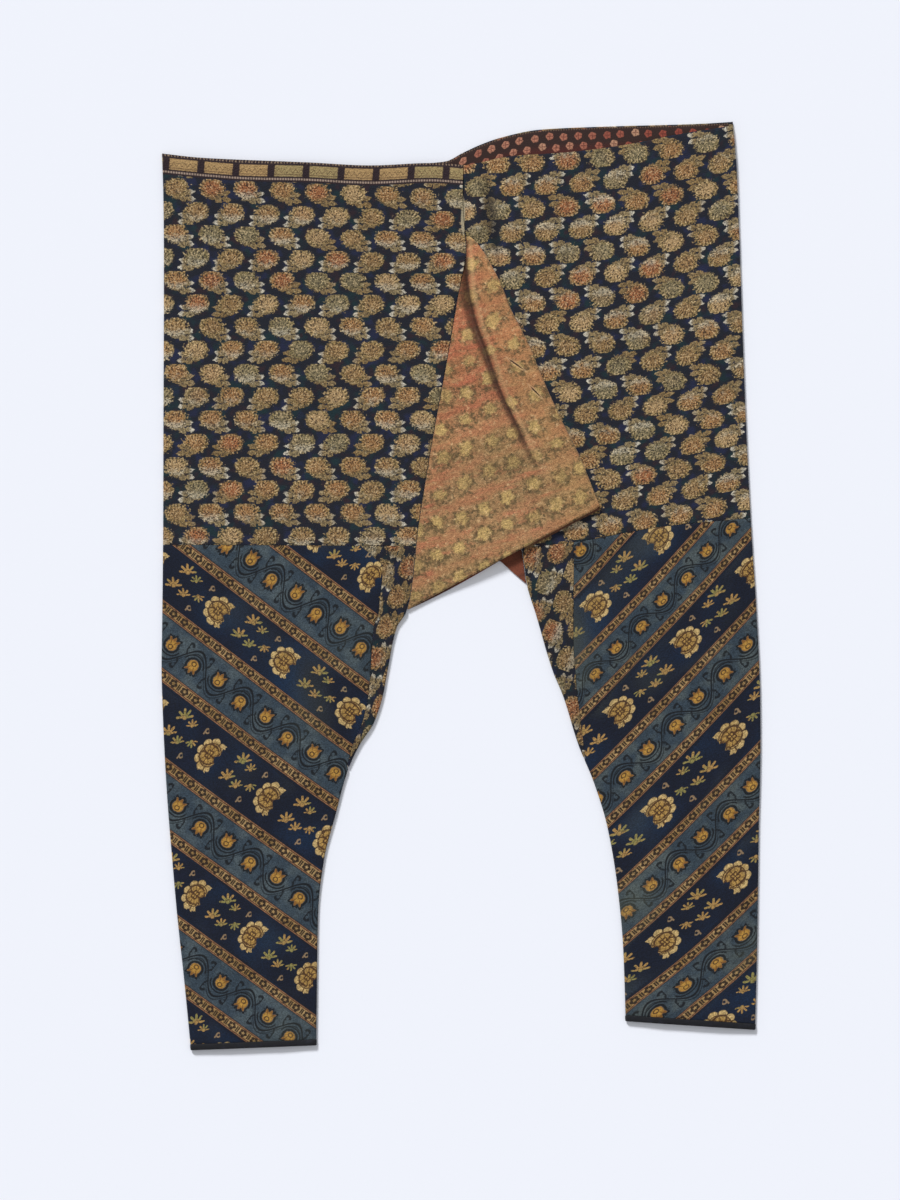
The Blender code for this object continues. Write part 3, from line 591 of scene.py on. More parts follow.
def upper_leg(side, name, material):
    """The wide upper leg, wrapped round the outer side. Its place in the pattern is across, up,
    and how far below the waist edge."""
    columns = round_columns(near=0, front_flat=128, back_flat=64, far=8)

    def walk_at(height):
        return walk_round(side, height, columns, SEAM / 2, 0.0)

    def waist(across, walk):
        front = smooth(WAIST_FRONT[side], "height", across)
        return np.where(walk > 0, front, smooth(WAIST_BACK, "height", across))

    top = met_by(side, walk_at, waist, 440.0)
    bottom = met_by(side, walk_at, edge_line(KNEE_SEAM[side], SEAM / 2), 44.0)
    height = top + (bottom - top) * spread(170, 0.0012)[:, None]
    walk = walk_at(height)
    flat = leg_section(side, height, walk)
    from_edge = np.minimum(np.minimum(top - height, height - bottom), np.abs(walk) - SEAM / 2)
    grid = lay(side, flat, walk, LEG_WRINKLES[side], LEG_SEED + side, from_edge)
    across = unrolled(flat, walk, smooth(LEGS[side], "outer", height))
    cloth = pattern(*sprig_place(side, across, height), top - height)
    return shell(name, grid, walled_leg(grid, flat), cloth, material)


def sprig_place(side, across, height):
    """An upper leg's place in its pattern: the left rows follow the waist edge down to the right
    near the top, and the right rows bend up towards the outer side."""
    column, row = in_photo(across, height)
    if side == LEFT:
        row = row - 10 * np.clip((column - 178) / 240, 0, 1.2) * (1 - eased((row - 188) / 130))
    else:
        out = (column - 490) / 200
        row = row + (3 + 6 * eased((row - 350) / 170)) * out + 15 * out * np.abs(out)
        column = column - 8 * eased((row - 320) / 210)
    return photo_x(column), photo_y(row)


def gore_width(side, height):
    """How wide half the gore is at a height, and nothing below its tip."""
    return smooth(GORES[side], "width", height) * (height > GORE_TIP[side])


def rows_to_tip(side, top):
    """Heights of rows from the knee seam to the crotch and on to the gore's tip."""
    crotch, tip = CROTCH[side].height, GORE_TIP[side] + 1.0
    above = top + (crotch - top) * spread(ROWS_ABOVE, 0.006)[:, None]
    below = crotch + (tip - crotch) * np.linspace(0, 1, ROWS_BELOW + 1)[1:, None]
    return np.concatenate([above, below + 0 * top])


def calf(side, name, material):
    """The narrow lower leg, wrapped right round and open at the top for the gore."""
    columns = round_columns(near=6, front_flat=74, back_flat=48, far=8)

    def width_at(height):
        closing = (height - GORE_TIP[side] + GORE_TIP_CLEARANCE) / (GORE_TIP_CLEARANCE + 1)
        return smooth(GORES[side], "width", height) * np.clip(closing, 0, 1)

    def walk_at(height):
        return walk_round(side, height, columns, width_at(height) + SEAM / 2, 1.8)

    top = met_by(side, walk_at, edge_line(KNEE_SEAM[side], -SEAM / 2), 40.0)
    bottom = met_by(side, walk_at, edge_line(HEM[side], BINDING_LENGTH + SEAM), -460.0)
    closed = GORE_TIP[side] - GORE_TIP_CLEARANCE
    down = spread(112, 0.002)[:, None]
    height = np.concatenate([rows_to_tip(side, top), closed + (bottom - closed) * down])
    walk = walk_at(height)
    flat = leg_section(side, height, walk)
    from_gore = np.where(height > closed, np.abs(walk) - width_at(height), 9.0)
    from_edge = np.minimum(np.minimum(top - height, height - bottom), from_gore)
    grid = lay(side, flat, walk, CALF_WRINKLES[side], CALF_SEED + side, from_edge)
    across = unrolled(flat, walk, smooth(LEGS[side], "outer", height))
    return shell(name, grid, walled_leg(grid, flat), stripe_place(side, across, height), material)


def gore(side, name, material):
    """A long triangle let in round the inner edge of the leg, slit at the top round the gusset."""
    near = [0.0, 0.5, 1.0, 1.5, 2.0, 2.5, 3.0]
    shares = spread(14, 0.03)[1:]

    def walk_at(height):
        width = np.maximum(gore_width(side, height) - SEAM / 2, 2.2 * SEAM)
        full = np.maximum(width, near[-1] + 1)
        half = [k + 0 * full for k in near] + [near[-1] + (full - near[-1]) * k for k in shares]
        walk = np.stack([SEAM / 2 + k / full * (width - SEAM / 2) for k in half])
        index = np.arange(2 * len(half))
        picked = np.where(index < len(half), len(half) - 1 - index, index - len(half))
        sign = np.where(index < len(half), 1, -1)
        walk = np.broadcast_to(walk, (len(half),) + np.broadcast(full, index).shape)
        return np.take_along_axis(walk, np.broadcast_to(picked, walk.shape[1:])[None], 0)[0] * sign

    columns = 2 * (len(near) + len(shares))
    knee = edge_line(KNEE_SEAM[side], -SEAM / 2)
    top = met_by(side, walk_at, knee, np.full(columns, 40.0))
    height = rows_to_tip(side, top)
    walk = walk_at(height)
    flat = leg_section(side, height, walk)
    slit_rows = len(height) - ROWS_BELOW - 1
    inner = walled_leg(flat, flat)
    for part in (slice(0, columns // 2), slice(columns // 2, None)):
        half = walled(flat[:, part], CLOTH, away_from_leg(flat[:, part]))
        inner[:slit_rows, part] = half[:slit_rows]
    from_edge = np.minimum(top - height, gore_width(side, height) - np.abs(walk))
    in_slit = height > CROTCH[side].height
    from_edge = np.where(in_slit, np.minimum(from_edge, np.abs(walk)), from_edge)
    grid = lay(side, flat, walk, CALF_WRINKLES[side], CALF_SEED + side, from_edge)
    gaps = np.zeros((len(height) - 1, columns - 1), bool)
    gaps[:slit_rows, columns // 2 - 1] = True
    across = unrolled(flat, walk, smooth(LEGS[side], "inner", height))
    cloth = pattern(height * 0.94 + across * 0.34, height * 0.34 - across * 0.94, from_edge)
    return shell(name, grid, inner + (grid - flat), cloth, material, gaps=gaps)


def binding(side, name, material):
    """The narrow dark binding round a hem: a closed band, a little proud of the calf."""
    columns = round_columns(near=5, front_flat=60, back_flat=40, far=7)
    columns = Columns(*[part[:-1] for part in columns])

    def walk_at(height):
        return walk_round(side, height, columns, 0.0, 1.8)

    edge = met_by(side, walk_at, edge_line(HEM[side]), -460.0)
    share, proud, wall = np.array(BINDING_SHAPE).T[..., None]
    height = edge + share * BINDING_LENGTH
    walk = walk_at(height)
    line = leg_section(side, height, walk)
    _, to_fold, arc = lengths_round(side, height)
    line[..., 0] += side * proud * (eased((np.abs(walk) - to_fold) / arc) - (np.abs(walk) < 0.1))
    uneven = 1 + 0.35 * np.sin(walk / 3.7) * np.sin(walk / 9.1)
    line[..., 2] += proud * (line[..., 2] > CLOTH) * uneven
    level = line.copy()
    level[..., 1] = edge
    across = tangents(level, 1, ring=True)
    normal = unit(np.cross(across, np.array([0.0, 1.0, 0.0])))
    if (normal * away_from_leg(line)).sum() < 0:
        normal = -normal
    radius = smooth(LEGS[side], "fold", edge)[..., None] / 2
    wall = wall[..., None] - THINNER_IN_FOLD * np.clip(1 - (line[..., 2:] / radius - 1) ** 2, 0, 1)
    cloth = pattern(walk, height, edge + BINDING_LENGTH - height)
    return shell(name, line, line - wall * normal, cloth, material, ring=True)


def gusset_plan(over, down):
    """Where a share over and a share down the gusset's front lies, seen from above."""
    left_height = FRONT_APEX_HEIGHT + (GUSSET_FOOT[LEFT].height - FRONT_APEX_HEIGHT) * down
    left = smooth(LEFT_LEG, "inner", left_height) + GUSSET_INSET
    right_height = FRONT_APEX_HEIGHT + (PLEAT_TIP.height - FRONT_APEX_HEIGHT) * down
    right = pleat_edge(right_height)
    return left + (right - left) * over, left_height + (right_height - left_height) * over


def floor_of_pleat(across, height):
    """What the gusset's front lies over: its back, and past the seam the right leg."""
    seam = smooth(RIGHT_LEG, "inner", height)
    over_leg = leg_top(RIGHT, np.maximum(across, seam), height) + SEAM
    over_back = CLOTH + SEAM
    share = eased((across - seam + 12) / 10)
    return over_back + (over_leg - over_back) * share


GUSSET_WRINKLES = rows(
    "from_x from_y to_x to_y bow width rise",
    (473, 262, 486, 345, 1, 3.2, 0.9), (480, 262, 500, 330, 0, 2.6, -0.9),
    (486, 262, 512, 335, 0, 3.0, 0.7), (455, 335, 478, 325, 0, 3.2, -0.7),
    (450, 352, 482, 341, 0, 3.2, 0.5), (447, 380, 487, 366, 0, 4.5, -0.5),
    (488, 345, 508, 338, 0, 2.4, -0.7), (494, 372, 516, 360, 0, 2.6, -0.5),
    (500, 345, 560, 480, 5, 6, 0.7), (430, 560, 500, 500, 4, 12, -0.5),
    (425, 470, 505, 430, 4, 10, 0.5), (510, 540, 570, 480, -4, 9, -0.6),
    (520, 470, 575, 500, 3, 7, 0.6), (441, 440, 425, 560, 0, 7, 0.6),
)


def gusset_top(over, down, across, height):
    """How high the gusset's front stands: it climbs from the left seam to the pleat, with a deep
    crease beside the pleat and small wrinkles drawn from it."""
    left = smooth(LEFT_LEG, "inner_rise", np.maximum(height, CROTCH[LEFT].height))
    climb = eased(over * 1.25) * eased(over * 3)
    top = left + (smooth(PLEAT_TOP, "rise", down) - left) * climb
    beside = across - smooth(CREASE, "across", height)
    depth = smooth(CREASE, "depth", height)
    sharp = np.where(beside > 0, CREASE_WIDTH * 1.25, CREASE_WIDTH * 0.8)
    top = top - depth * bell(beside, sharp) + 0.3 * depth * bell(beside + 12, 8)
    room = eased(over / 0.06) * eased((1 - over) / 0.08) * eased((1 - down) / 0.05)
    waves = 0.3 * swell(across, height, GUSSET_SEED)
    top = top + (wrinkled(GUSSET_WRINKLES, across, height) + waves) * room
    return np.maximum(top, floor_of_pleat(across, height) + CLOTH + SEAM)


GUSSET_LEAN = 22.0


def gusset_place(across, height):
    """The gusset's place in its pattern: its bands rise to the right by a fixed lean."""
    lean = np.radians(GUSSET_LEAN)
    along = across * np.cos(lean) + height * np.sin(lean)
    up = height * np.cos(lean) - across * np.sin(lean)
    return along, up


def gusset_front(name, material):
    """The gusset's front: it turns down at its bottom edge and at the pleat's fold. What it gives
    back is its underside up to the fold, and how low its bottom edge reaches."""
    over_flat = 0.93 * spread(84, 0.006)
    down_flat = spread(200, 0.002) * (1 - BOTTOM_TURN)
    turns = np.radians([0, 18, 36, 54, 72, 90])
    over, down = np.meshgrid(over_flat, down_flat)
    width = gusset_plan(1.0, down)[0] - gusset_plan(0.0, down)[0]
    over = over * np.minimum(1.0, (1 - ROOM_FOR_FOLD / width) / over_flat[-1])
    missing = (1 - 1.05 * PLEAT_ROUNDING / width - over[:, -1:]).clip(0)
    over = over + missing * (over_flat / over_flat[-1]) ** 3
    across, height = gusset_plan(over, down)
    flat = np.stack([across, height, gusset_top(over, down, across, height)], axis=-1)
    edge = pleat_fold_columns(down_flat, turns)
    grid = np.concatenate([flat, edge], axis=1)

    last = grid[-1]
    is_open = eased((last[:, 0] - OPEN_FROM) / 12)
    closed_end = CLOTH + SEAM
    open_end = last[:, 2] - BOTTOM_ROUNDING
    low = np.minimum(closed_end + (open_end - closed_end) * is_open, last[:, 2] - 1.0)
    round_by = np.minimum(BOTTOM_ROUNDING, last[:, 2] - low) - 0.1
    curl = []
    for turn in turns[1:]:
        down_row = 1 - BOTTOM_TURN * (1 - np.sin(turn))
        across, height = gusset_plan(over[-1], down_row)
        edge = pleat_fold_columns(np.array([down_row]), turns)[0]
        line = np.concatenate([np.stack([across, height, 0 * across], axis=-1), edge])
        line[:, 2] = last[:, 2] - round_by * (1 - np.cos(turn))
        curl.append(line)
    end = curl[-1].copy()
    end[:, :2] += 0.05 * DOWN_WAY
    end[:, 2] = low
    grid = np.concatenate([grid, np.array(curl), end[None]], axis=0)
    upwards = np.zeros_like(grid)
    upwards[..., 2] = 1
    inner = walled(grid, CLOTH, upwards)
    seam_line = smooth(LEFT_LEG, "inner", inner[:, 0, 1]) + GUSSET_INSET
    inner[:, 0, 0] = np.maximum(inner[:, 0, 0], seam_line)
    inside_end = end - CLOTH * np.array([*DOWN_WAY, 0.0])
    inside_end[len(over_flat) :, 0] -= CLOTH * np.sin([*turns, np.pi / 2])
    inside_end[0] = [seam_line[-1], inside_end[0, 1], end[0, 2]]
    last_flat = inner[len(down_flat) - 1]
    share = np.linspace(0, 1, len(turns) + 1)[1:, None, None]
    inner[len(down_flat) :] = last_flat + (inside_end - last_flat) * share
    along, up = gusset_place(grid[..., 0], grid[..., 1])
    beside = grid[..., 0] - smooth(CREASE, "across", grid[..., 1])
    body = shell(name, grid, inner, pattern(along, up, beside), material)
    to_fold = len(over_flat) + 1
    return body, inner[: len(down_flat), :to_fold], end[:to_fold, 2]


def pleat_fold_columns(down, turns):
    """The columns of the gusset's front that roll over the pleat's fold and end on the leg."""
    height = gusset_plan(1.0, down)[1]
    across = pleat_edge(height)
    floor = leg_top(RIGHT, across, height) + SEAM + PLEAT_CORNER_LIFT * eased((down - 0.9) / 0.09)
    ridge = np.maximum(gusset_top(0.96, down, across - 4, height), floor + 2.4)
    radius = np.minimum(PLEAT_ROUNDING, ridge - floor - 0.6)
    columns = [
        (across - radius * (1 - np.sin(turn)), height, ridge - radius * (1 - np.cos(turn)))
        for turn in turns
    ]
    columns.append((across, height, floor))
    return np.stack([np.stack(column, axis=-1) for column in columns], axis=1)


def gusset_back(name, material):
    """The gusset's back, flat on the surface between the two back seams."""
    over, down = spread(50, 0.01), spread(90, 0.004)
    foot = GUSSET_FOOT
    bottom_across = foot[LEFT].across + (foot[RIGHT].across - foot[LEFT].across) * over
    corners = (foot[LEFT], NOTCH, foot[RIGHT])
    bottom = np.interp(bottom_across, [c.across for c in corners], [c.height for c in corners])
    height = APEX_HEIGHT + (bottom - APEX_HEIGHT) * down[:, None]
    left = smooth(LEFT_LEG, "inner", height) + GUSSET_INSET
    right = smooth(RIGHT_LEG, "inner", height) - GUSSET_INSET
    across = left + (right - left) * over
    from_edge = np.minimum(np.minimum(across - left, right - across), height - bottom)
    lift = 0.25 * np.clip(swell(across, height, GUSSET_BACK_SEED), 0, 1) * eased(from_edge / 6)
    grid = np.stack([across, height, lift], axis=-1)
    upper = grid.copy()
    upper[..., 2] += CLOTH
    along, up = gusset_place(across, height)
    return shell(name, grid, upper, pattern(along, up, from_edge), material)


def gusset_tuck(name, material, front_under, front_end):
    """The gusset's cloth that is folded away under the pleat, as one padded solid with two folded
    edges along the bottom."""
    share = spread(40, 0.01)
    rows = []
    for line in front_under[30:]:
        first, last = line[0], line[-1]
        start = 0.5
        for _ in range(6):
            height = first[1] + (last[1] - first[1]) * start
            seam = smooth(RIGHT_LEG, "inner", height) + TUCK_INSET
            start = (seam - first[0]) / (last[0] - first[0])
        over = start + (1 - start) * share
        spot = (line[:, 0] - first[0]) / (last[0] - first[0])
        rows.append(np.stack([np.interp(over, spot, line[:, k]) for k in range(3)], axis=-1))
    ends = np.interp(over, spot, front_end)
    body = np.array(rows)
    reach = 3
    top = np.pad(body[..., 2] - TUCK_CLEARANCE, reach, mode="edge")
    size = 2 * reach + 1
    beside = [top[i : i + len(body), j : j + len(share)] for i in range(size) for j in range(size)]
    body[..., 2] = np.min(beside, axis=0)
    floor = leg_top(RIGHT, body[..., 0], body[..., 1]) + SEAM
    body[..., 2] = np.maximum(body[..., 2], floor + 0.6)
    under = body.copy()
    under[..., 2] = floor
    lip, lip_under = [], []
    for row in TUCK_LIP:
        line = body[-1].copy()
        line[:, :2] += DOWN_WAY * row.out
        ground = leg_top(RIGHT, line[:, 0], line[:, 1]) + SEAM
        line[:, 2] = ground + (ends - SEAM - 0.1 - floor[-1]) * row.share
        lip.append(line)
        below = body[-1].copy()
        below[:, :2] += DOWN_WAY * row.under
        below[:, 2] = leg_top(RIGHT, below[:, 0], below[:, 1]) + SEAM
        lip_under.append(below)
    grid = np.concatenate([body, lip])
    along, up = gusset_place(grid[..., 0], grid[..., 1])
    out = np.concatenate([np.zeros(len(body)), [row.out for row in TUCK_LIP]])[:, None]
    cloth = pattern(along, up, out)
    return shell(name, grid, np.concatenate([under, lip_under]), cloth, material)


def waist_facing(name, material):
    """The facing inside the back of the waist, seen above the lower front."""
    across = FACING_ENDS[0] + (FACING_ENDS[1] - FACING_ENDS[0]) * spread(150, 0.004)
    top = smooth(WAIST_BACK, "height", across) - FACING_LIP
    down = spread(22, 0.02)[:, None]
    height = top - FACING_DEPTH * down
    room = eased(down / 0.1) * eased((1 - down) / 0.3)
    rise = 0.5 * np.clip(swell(across, height, FACING_SEED) + 0.3, 0, 1) * room
    level = CLOTH + SEAM + FACING_CLOTH
    grid = np.stack([across + 0 * height, height, rise + level], axis=-1)
    lower = grid.copy()
    lower[..., 2] -= FACING_CLOTH
    return shell(name, grid, lower, pattern(across, height, top - height), material)


# Where a calf's stripes run. Each leg's guards, the narrow bands between the wide ones, cross its
# outer fold at these rows of the photograph. A whole turn holds one grey and one navy band.

GUARDS = {
    LEFT: rows(
        "row turn",
        (220, -2.545), (300, -2.0), (375, -1.545), (455, -1.0), (530, -0.545), (604, 0.0),
        (673.5, 0.455), (761, 1.0), (829.5, 1.455), (909, 2.0), (973, 2.455), (1053, 3.0),
        (1117, 3.455), (1196, 4.0),
    ),
    RIGHT: rows(
        "row turn",
        (180, -2.0), (250, -1.545), (320, -1.0), (384.5, -0.545), (464, 0.0), (523, 0.455),
        (599.5, 1.0), (665.5, 1.455), (746.5, 2.0), (811.5, 2.455), (890.5, 3.0), (950.5, 3.455),
        (1030, 4.0), (1095, 4.455), (1170, 5.0), (1240, 5.455),
    ),
}
# How steeply the stripes run down towards the inner leg at some rows of the photograph, the sine of
# the mean slope, and the column of the outer fold.
STRIPE_SLOPES = {
    LEFT: rows(
        "row slope",
        (560, 0.767), (740, 0.765), (860, 0.728), (1060, 0.725),
    ),
    RIGHT: rows(
        "row slope",
        (580, 1.12), (660, 1.083), (745, 1.06), (816, 1.03), (880, 1.0), (948, 0.943),
        (1000, 0.87),
    ),
}
MEAN_SINE = {LEFT: 0.6, RIGHT: 0.724}
FOLD_COLUMN = {LEFT: 161.0, RIGHT: 760.0}
# Where along its band a big flower or the first tulip's repeat lies, and how far it is to the next,
# in pixels: navy and grey bands in turn, from the navy one that ends at the first turn.
FIRST_TURN = -1
BANDS = {
    LEFT: rows(
        "start repeat",
        (448.0, 65.8), (418.5, 84.3), (412.9, 82.8), (406.4, 88.8), (491.7, 73.0), (508.6, 91.1),
        (564.8, 69.7), (590.2, 87.0), (681.7, 69.7),
    ),
    RIGHT: rows(
        "start repeat",
        (460.0, 92.0), (534.8, 99.0), (460.0, 92.0), (448.2, 99.4), (515.8, 96.3), (489.3, 107.6),
        (553.6, 103.2), (587.9, 105.8), (652.2, 96.2), (702.3, 116.3), (770.5, 96.0),
    ),
}
# A navy band, and a grey one with its guards, begin and end at these parts of a turn.
NAVY_ENDS, GREY_ENDS = (-0.485, -0.061), (-0.059, 0.513)
STRIPE_ALONG, STRIPE_ACROSS = 87.0, 128.0


def stripe_place(side, across, height):
    """A calf's place in its pattern: along the stripes and across them, in the millimetres of the
    cloth before it was pulled on the bias."""
    column, row = in_photo(across, height)
    slope = np.interp(row, *zip(*STRIPE_SLOPES[side]))
    from_fold = side * (FOLD_COLUMN[side] - column)
    on_fold = row - from_fold * slope
    turn = np.interp(on_fold, *zip(*GUARDS[side]))
    along = from_fold * np.hypot(1.0, slope) + on_fold * MEAN_SINE[side]
    ends = [
        FIRST_TURN + index // 2 + end
        for index in range(len(BANDS[side]))
        for end in (GREY_ENDS if index % 2 else NAVY_ENDS)
    ]
    start, repeat = [np.interp(turn, ends, np.repeat(column, 2)) for column in zip(*BANDS[side])]
    return pattern((along - start) / repeat * STRIPE_ALONG, turn * STRIPE_ACROSS, 0 * row)


# The cloths. A pattern is written as plain arithmetic on numbers in a shader.


class Number:
    """A number in a shader: arithmetic on it adds the shader's math nodes."""

    def __init__(self, socket):
        self.socket = socket

    def __add__(self, other):
        return math("ADD", self, other)

    def __sub__(self, other):
        return math("SUBTRACT", self, other)

    def __rsub__(self, other):
        return math("SUBTRACT", other, self)

    def __mul__(self, other):
        return math("MULTIPLY", self, other)

    def __truediv__(self, other):
        return math("DIVIDE", self, other)

    __radd__, __rmul__ = __add__, __mul__


def wire(tree, value, socket):
    """Links a number or a colour to a socket, or sets a plain value on it."""
    if isinstance(value, Number):
        tree.links.new(value.socket, socket)
    elif isinstance(value, bpy.types.NodeSocket):
        tree.links.new(value, socket)
    else:
        socket.default_value = value


def add_node(kind, inputs, **settings):
    """A shader node beside the numbers or colours that its inputs take, by index or name."""
    sockets = [getattr(value, "socket", value) for value in inputs.values()]
    tree = next(s.id_data for s in sockets if isinstance(s, bpy.types.NodeSocket))
    node = tree.nodes.new("ShaderNode" + kind)
    for name, value in settings.items():
        setattr(node, name, value)
    for key, value in inputs.items():
        wire(tree, value, node.inputs[key])
    return node


def math(operation, *values):
    """One math node: an operation on numbers."""
    return Number(add_node("Math", dict(enumerate(values)), operation=operation).outputs[0])


def ramp(number, low, high):
    """0 at low and 1 at high, with a soft start and end. high may be the lower of the two."""
    flip = not isinstance(low, Number) and not isinstance(high, Number) and low > high
    if flip:
        low, high = high, low
    inputs = dict(enumerate((number, low, high, float(flip), float(not flip))))
    return Number(add_node("MapRange", inputs, interpolation_type="SMOOTHSTEP").outputs[0])


def near(number, reach, softness):
    """1 where a number's size is under reach, with a soft edge."""
    return ramp(math("ABSOLUTE", number) - reach, softness / 2, -softness / 2)


def length(x, y):
    """How far a point is from the origin."""
    return math("SQRT", x * x + y * y)


def angle(x, y):
    """The angle of a point round the origin."""
    return math("ARCTAN2", y, x)


def wave(number, turns=1.0, start=0.0):
    """The cosine of some turns of an angle, from a start in degrees."""
    return math("COSINE", math("MULTIPLY_ADD", number, turns, np.radians(-start)))


def petal(x, y, foot, tip, half):
    """How far inside a petal's outline a point lies: a pointed oval from a foot to a tip."""
    way = np.subtract(tip, foot)
    reach = np.hypot(*way)
    way = way / reach
    along = (x - foot[0]) * (way[0] / reach) + (y - foot[1]) * (way[1] / reach)
    off = math("ABSOLUTE", (y - foot[1]) * way[0] - (x - foot[0]) * way[1])
    return (along - along * along) * (4.0 * half) - off


def most(*numbers):
    """The greatest of some numbers."""
    total = numbers[0]
    for number in numbers[1:]:
        total = math("MAXIMUM", total, number)
    return total


def cell(number, size, start=0.0):
    """Which cell of a row a number is in, and how far it is from that cell's middle."""
    index = math("FLOOR", (number - start) / size + 0.5)
    return index, number - start - index * size


def odd(index):
    """1 for an odd whole number and 0 for an even one."""
    return math("FRACT", index * 0.5) * 2.0


def point(x, y, z):
    """Three numbers as one place."""
    return add_node("CombineXYZ", {0: x, 1: y, 2: z}).outputs[0]


def chance(x, y, seed):
    """An even chance from 0 to 1 for each pair of whole numbers."""
    node = add_node("TexWhiteNoise", {"Vector": point(x, y, seed)})
    return Number(node.outputs["Value"])


def noise(u, v, size, detail=2.0, seed=0.0, stretch=1.0):
    """A soft noise round 0, about -1 to 1, whose patches are about size millimetres."""
    place = point(u * stretch if stretch != 1.0 else u, v, seed)
    node = add_node("TexNoise", {"Vector": place, "Scale": 1.0 / size, "Detail": detail})
    return (Number(node.outputs[0]) - 0.5) * 3.0


def rgb(red, green, blue):
    """A colour as seen on a screen, from 0 to 255, as the shader's linear one."""
    parts = np.array([red, green, blue]) / 255
    linear = np.where(parts <= 0.04045, parts / 12.92, ((parts + 0.055) / 1.055) ** 2.4)
    return (*linear.tolist(), 1.0)


def mix(share, under, over):
    """A colour with a share of another over it."""
    return add_node("Mix", {0: share, 6: under, 7: over}, data_type="RGBA").outputs[2]


def coated(colour, *coats):
    """A colour under coats of others, each with the share that it covers."""
    for share, over in coats:
        colour = mix(share, colour, over)
    return colour


def grade(number, stops):
    """A colour picked in steps along a number from 0 to 1."""
    node = add_node("ValToRGB", {0: number})
    node.color_ramp.interpolation = "CONSTANT"
    elements = node.color_ramp.elements
    while len(elements) < len(stops):
        elements.new(1.0)
    for element, (at, colour) in zip(elements, stops):
        element.position, element.color = at, colour
    return node.outputs[0]


def lit(colour, gain):
    """A colour made lighter or darker by a number round 1."""
    colour = colour[:3] if isinstance(colour, tuple) else colour
    return add_node("VectorMath", {0: colour, "Scale": gain}, operation="SCALE").outputs[0]


def new_cloth(name):
    """A new material, and the place in the pattern that its piece carries."""
    material = bpy.data.materials.new(name)
    material.use_nodes = True
    tree = material.node_tree
    place = tree.nodes.new("ShaderNodeAttribute")
    place.attribute_name = "cloth"
    parts = tree.nodes.new("ShaderNodeSeparateXYZ")
    tree.links.new(place.outputs["Vector"], parts.inputs[0])
    return material, [Number(socket) for socket in parts.outputs]


def finish_cloth(material, colour, relief, depth=0.25, roughness=0.85, sheen=0.12, sheen_tint=None):
    """The cloth's colour, and its relief as a bump of some millimetres."""
    tree = material.node_tree
    shader = tree.nodes["Principled BSDF"]
    wire(tree, colour, shader.inputs["Base Color"])
    shader.inputs["Roughness"].default_value = roughness
    shader.inputs["Specular IOR Level"].default_value = 0.25
    shader.inputs["Sheen Weight"].default_value = sheen
    shader.inputs["Sheen Roughness"].default_value = 0.5
    if sheen_tint:
        shader.inputs["Sheen Tint"].default_value = sheen_tint
    bump = tree.nodes.new("ShaderNodeBump")
    bump.inputs["Strength"].default_value = 1.0
    bump.inputs["Distance"].default_value = depth * MM
    wire(tree, relief, bump.inputs["Height"])
    tree.links.new(bump.outputs[0], shader.inputs["Normal"])
    return material


# The sprig cloth: its repeat, and where a sprig that leans to the left lies on each piece.
Sprigs = namedtuple("Sprigs", "across up across_start up_start shift turned gain")
SPRIGS = {
    "left": Sprigs(36.1, 23.85, photo_x(216), photo_y(190), 11.8, False, 0.84),
    "right": Sprigs(35.6, 23.9, photo_x(563.2), photo_y(208.8), -12.5, True, 0.86),
    "gore": Sprigs(33.0, 23.0, 4.0, 9.0, 12.0, False, 0.7),
}
LEAVES = (
    ((3.0, -3.4), (14.6, -0.4), 2.7),
    ((4.5, -7.6), (15.4, -8.8), 2.9),
    ((-2.0, -2.5), (5.6, -13.0), 3.4),
    ((1.0, -6.2), (-8.0, -7.6), 2.0),
)


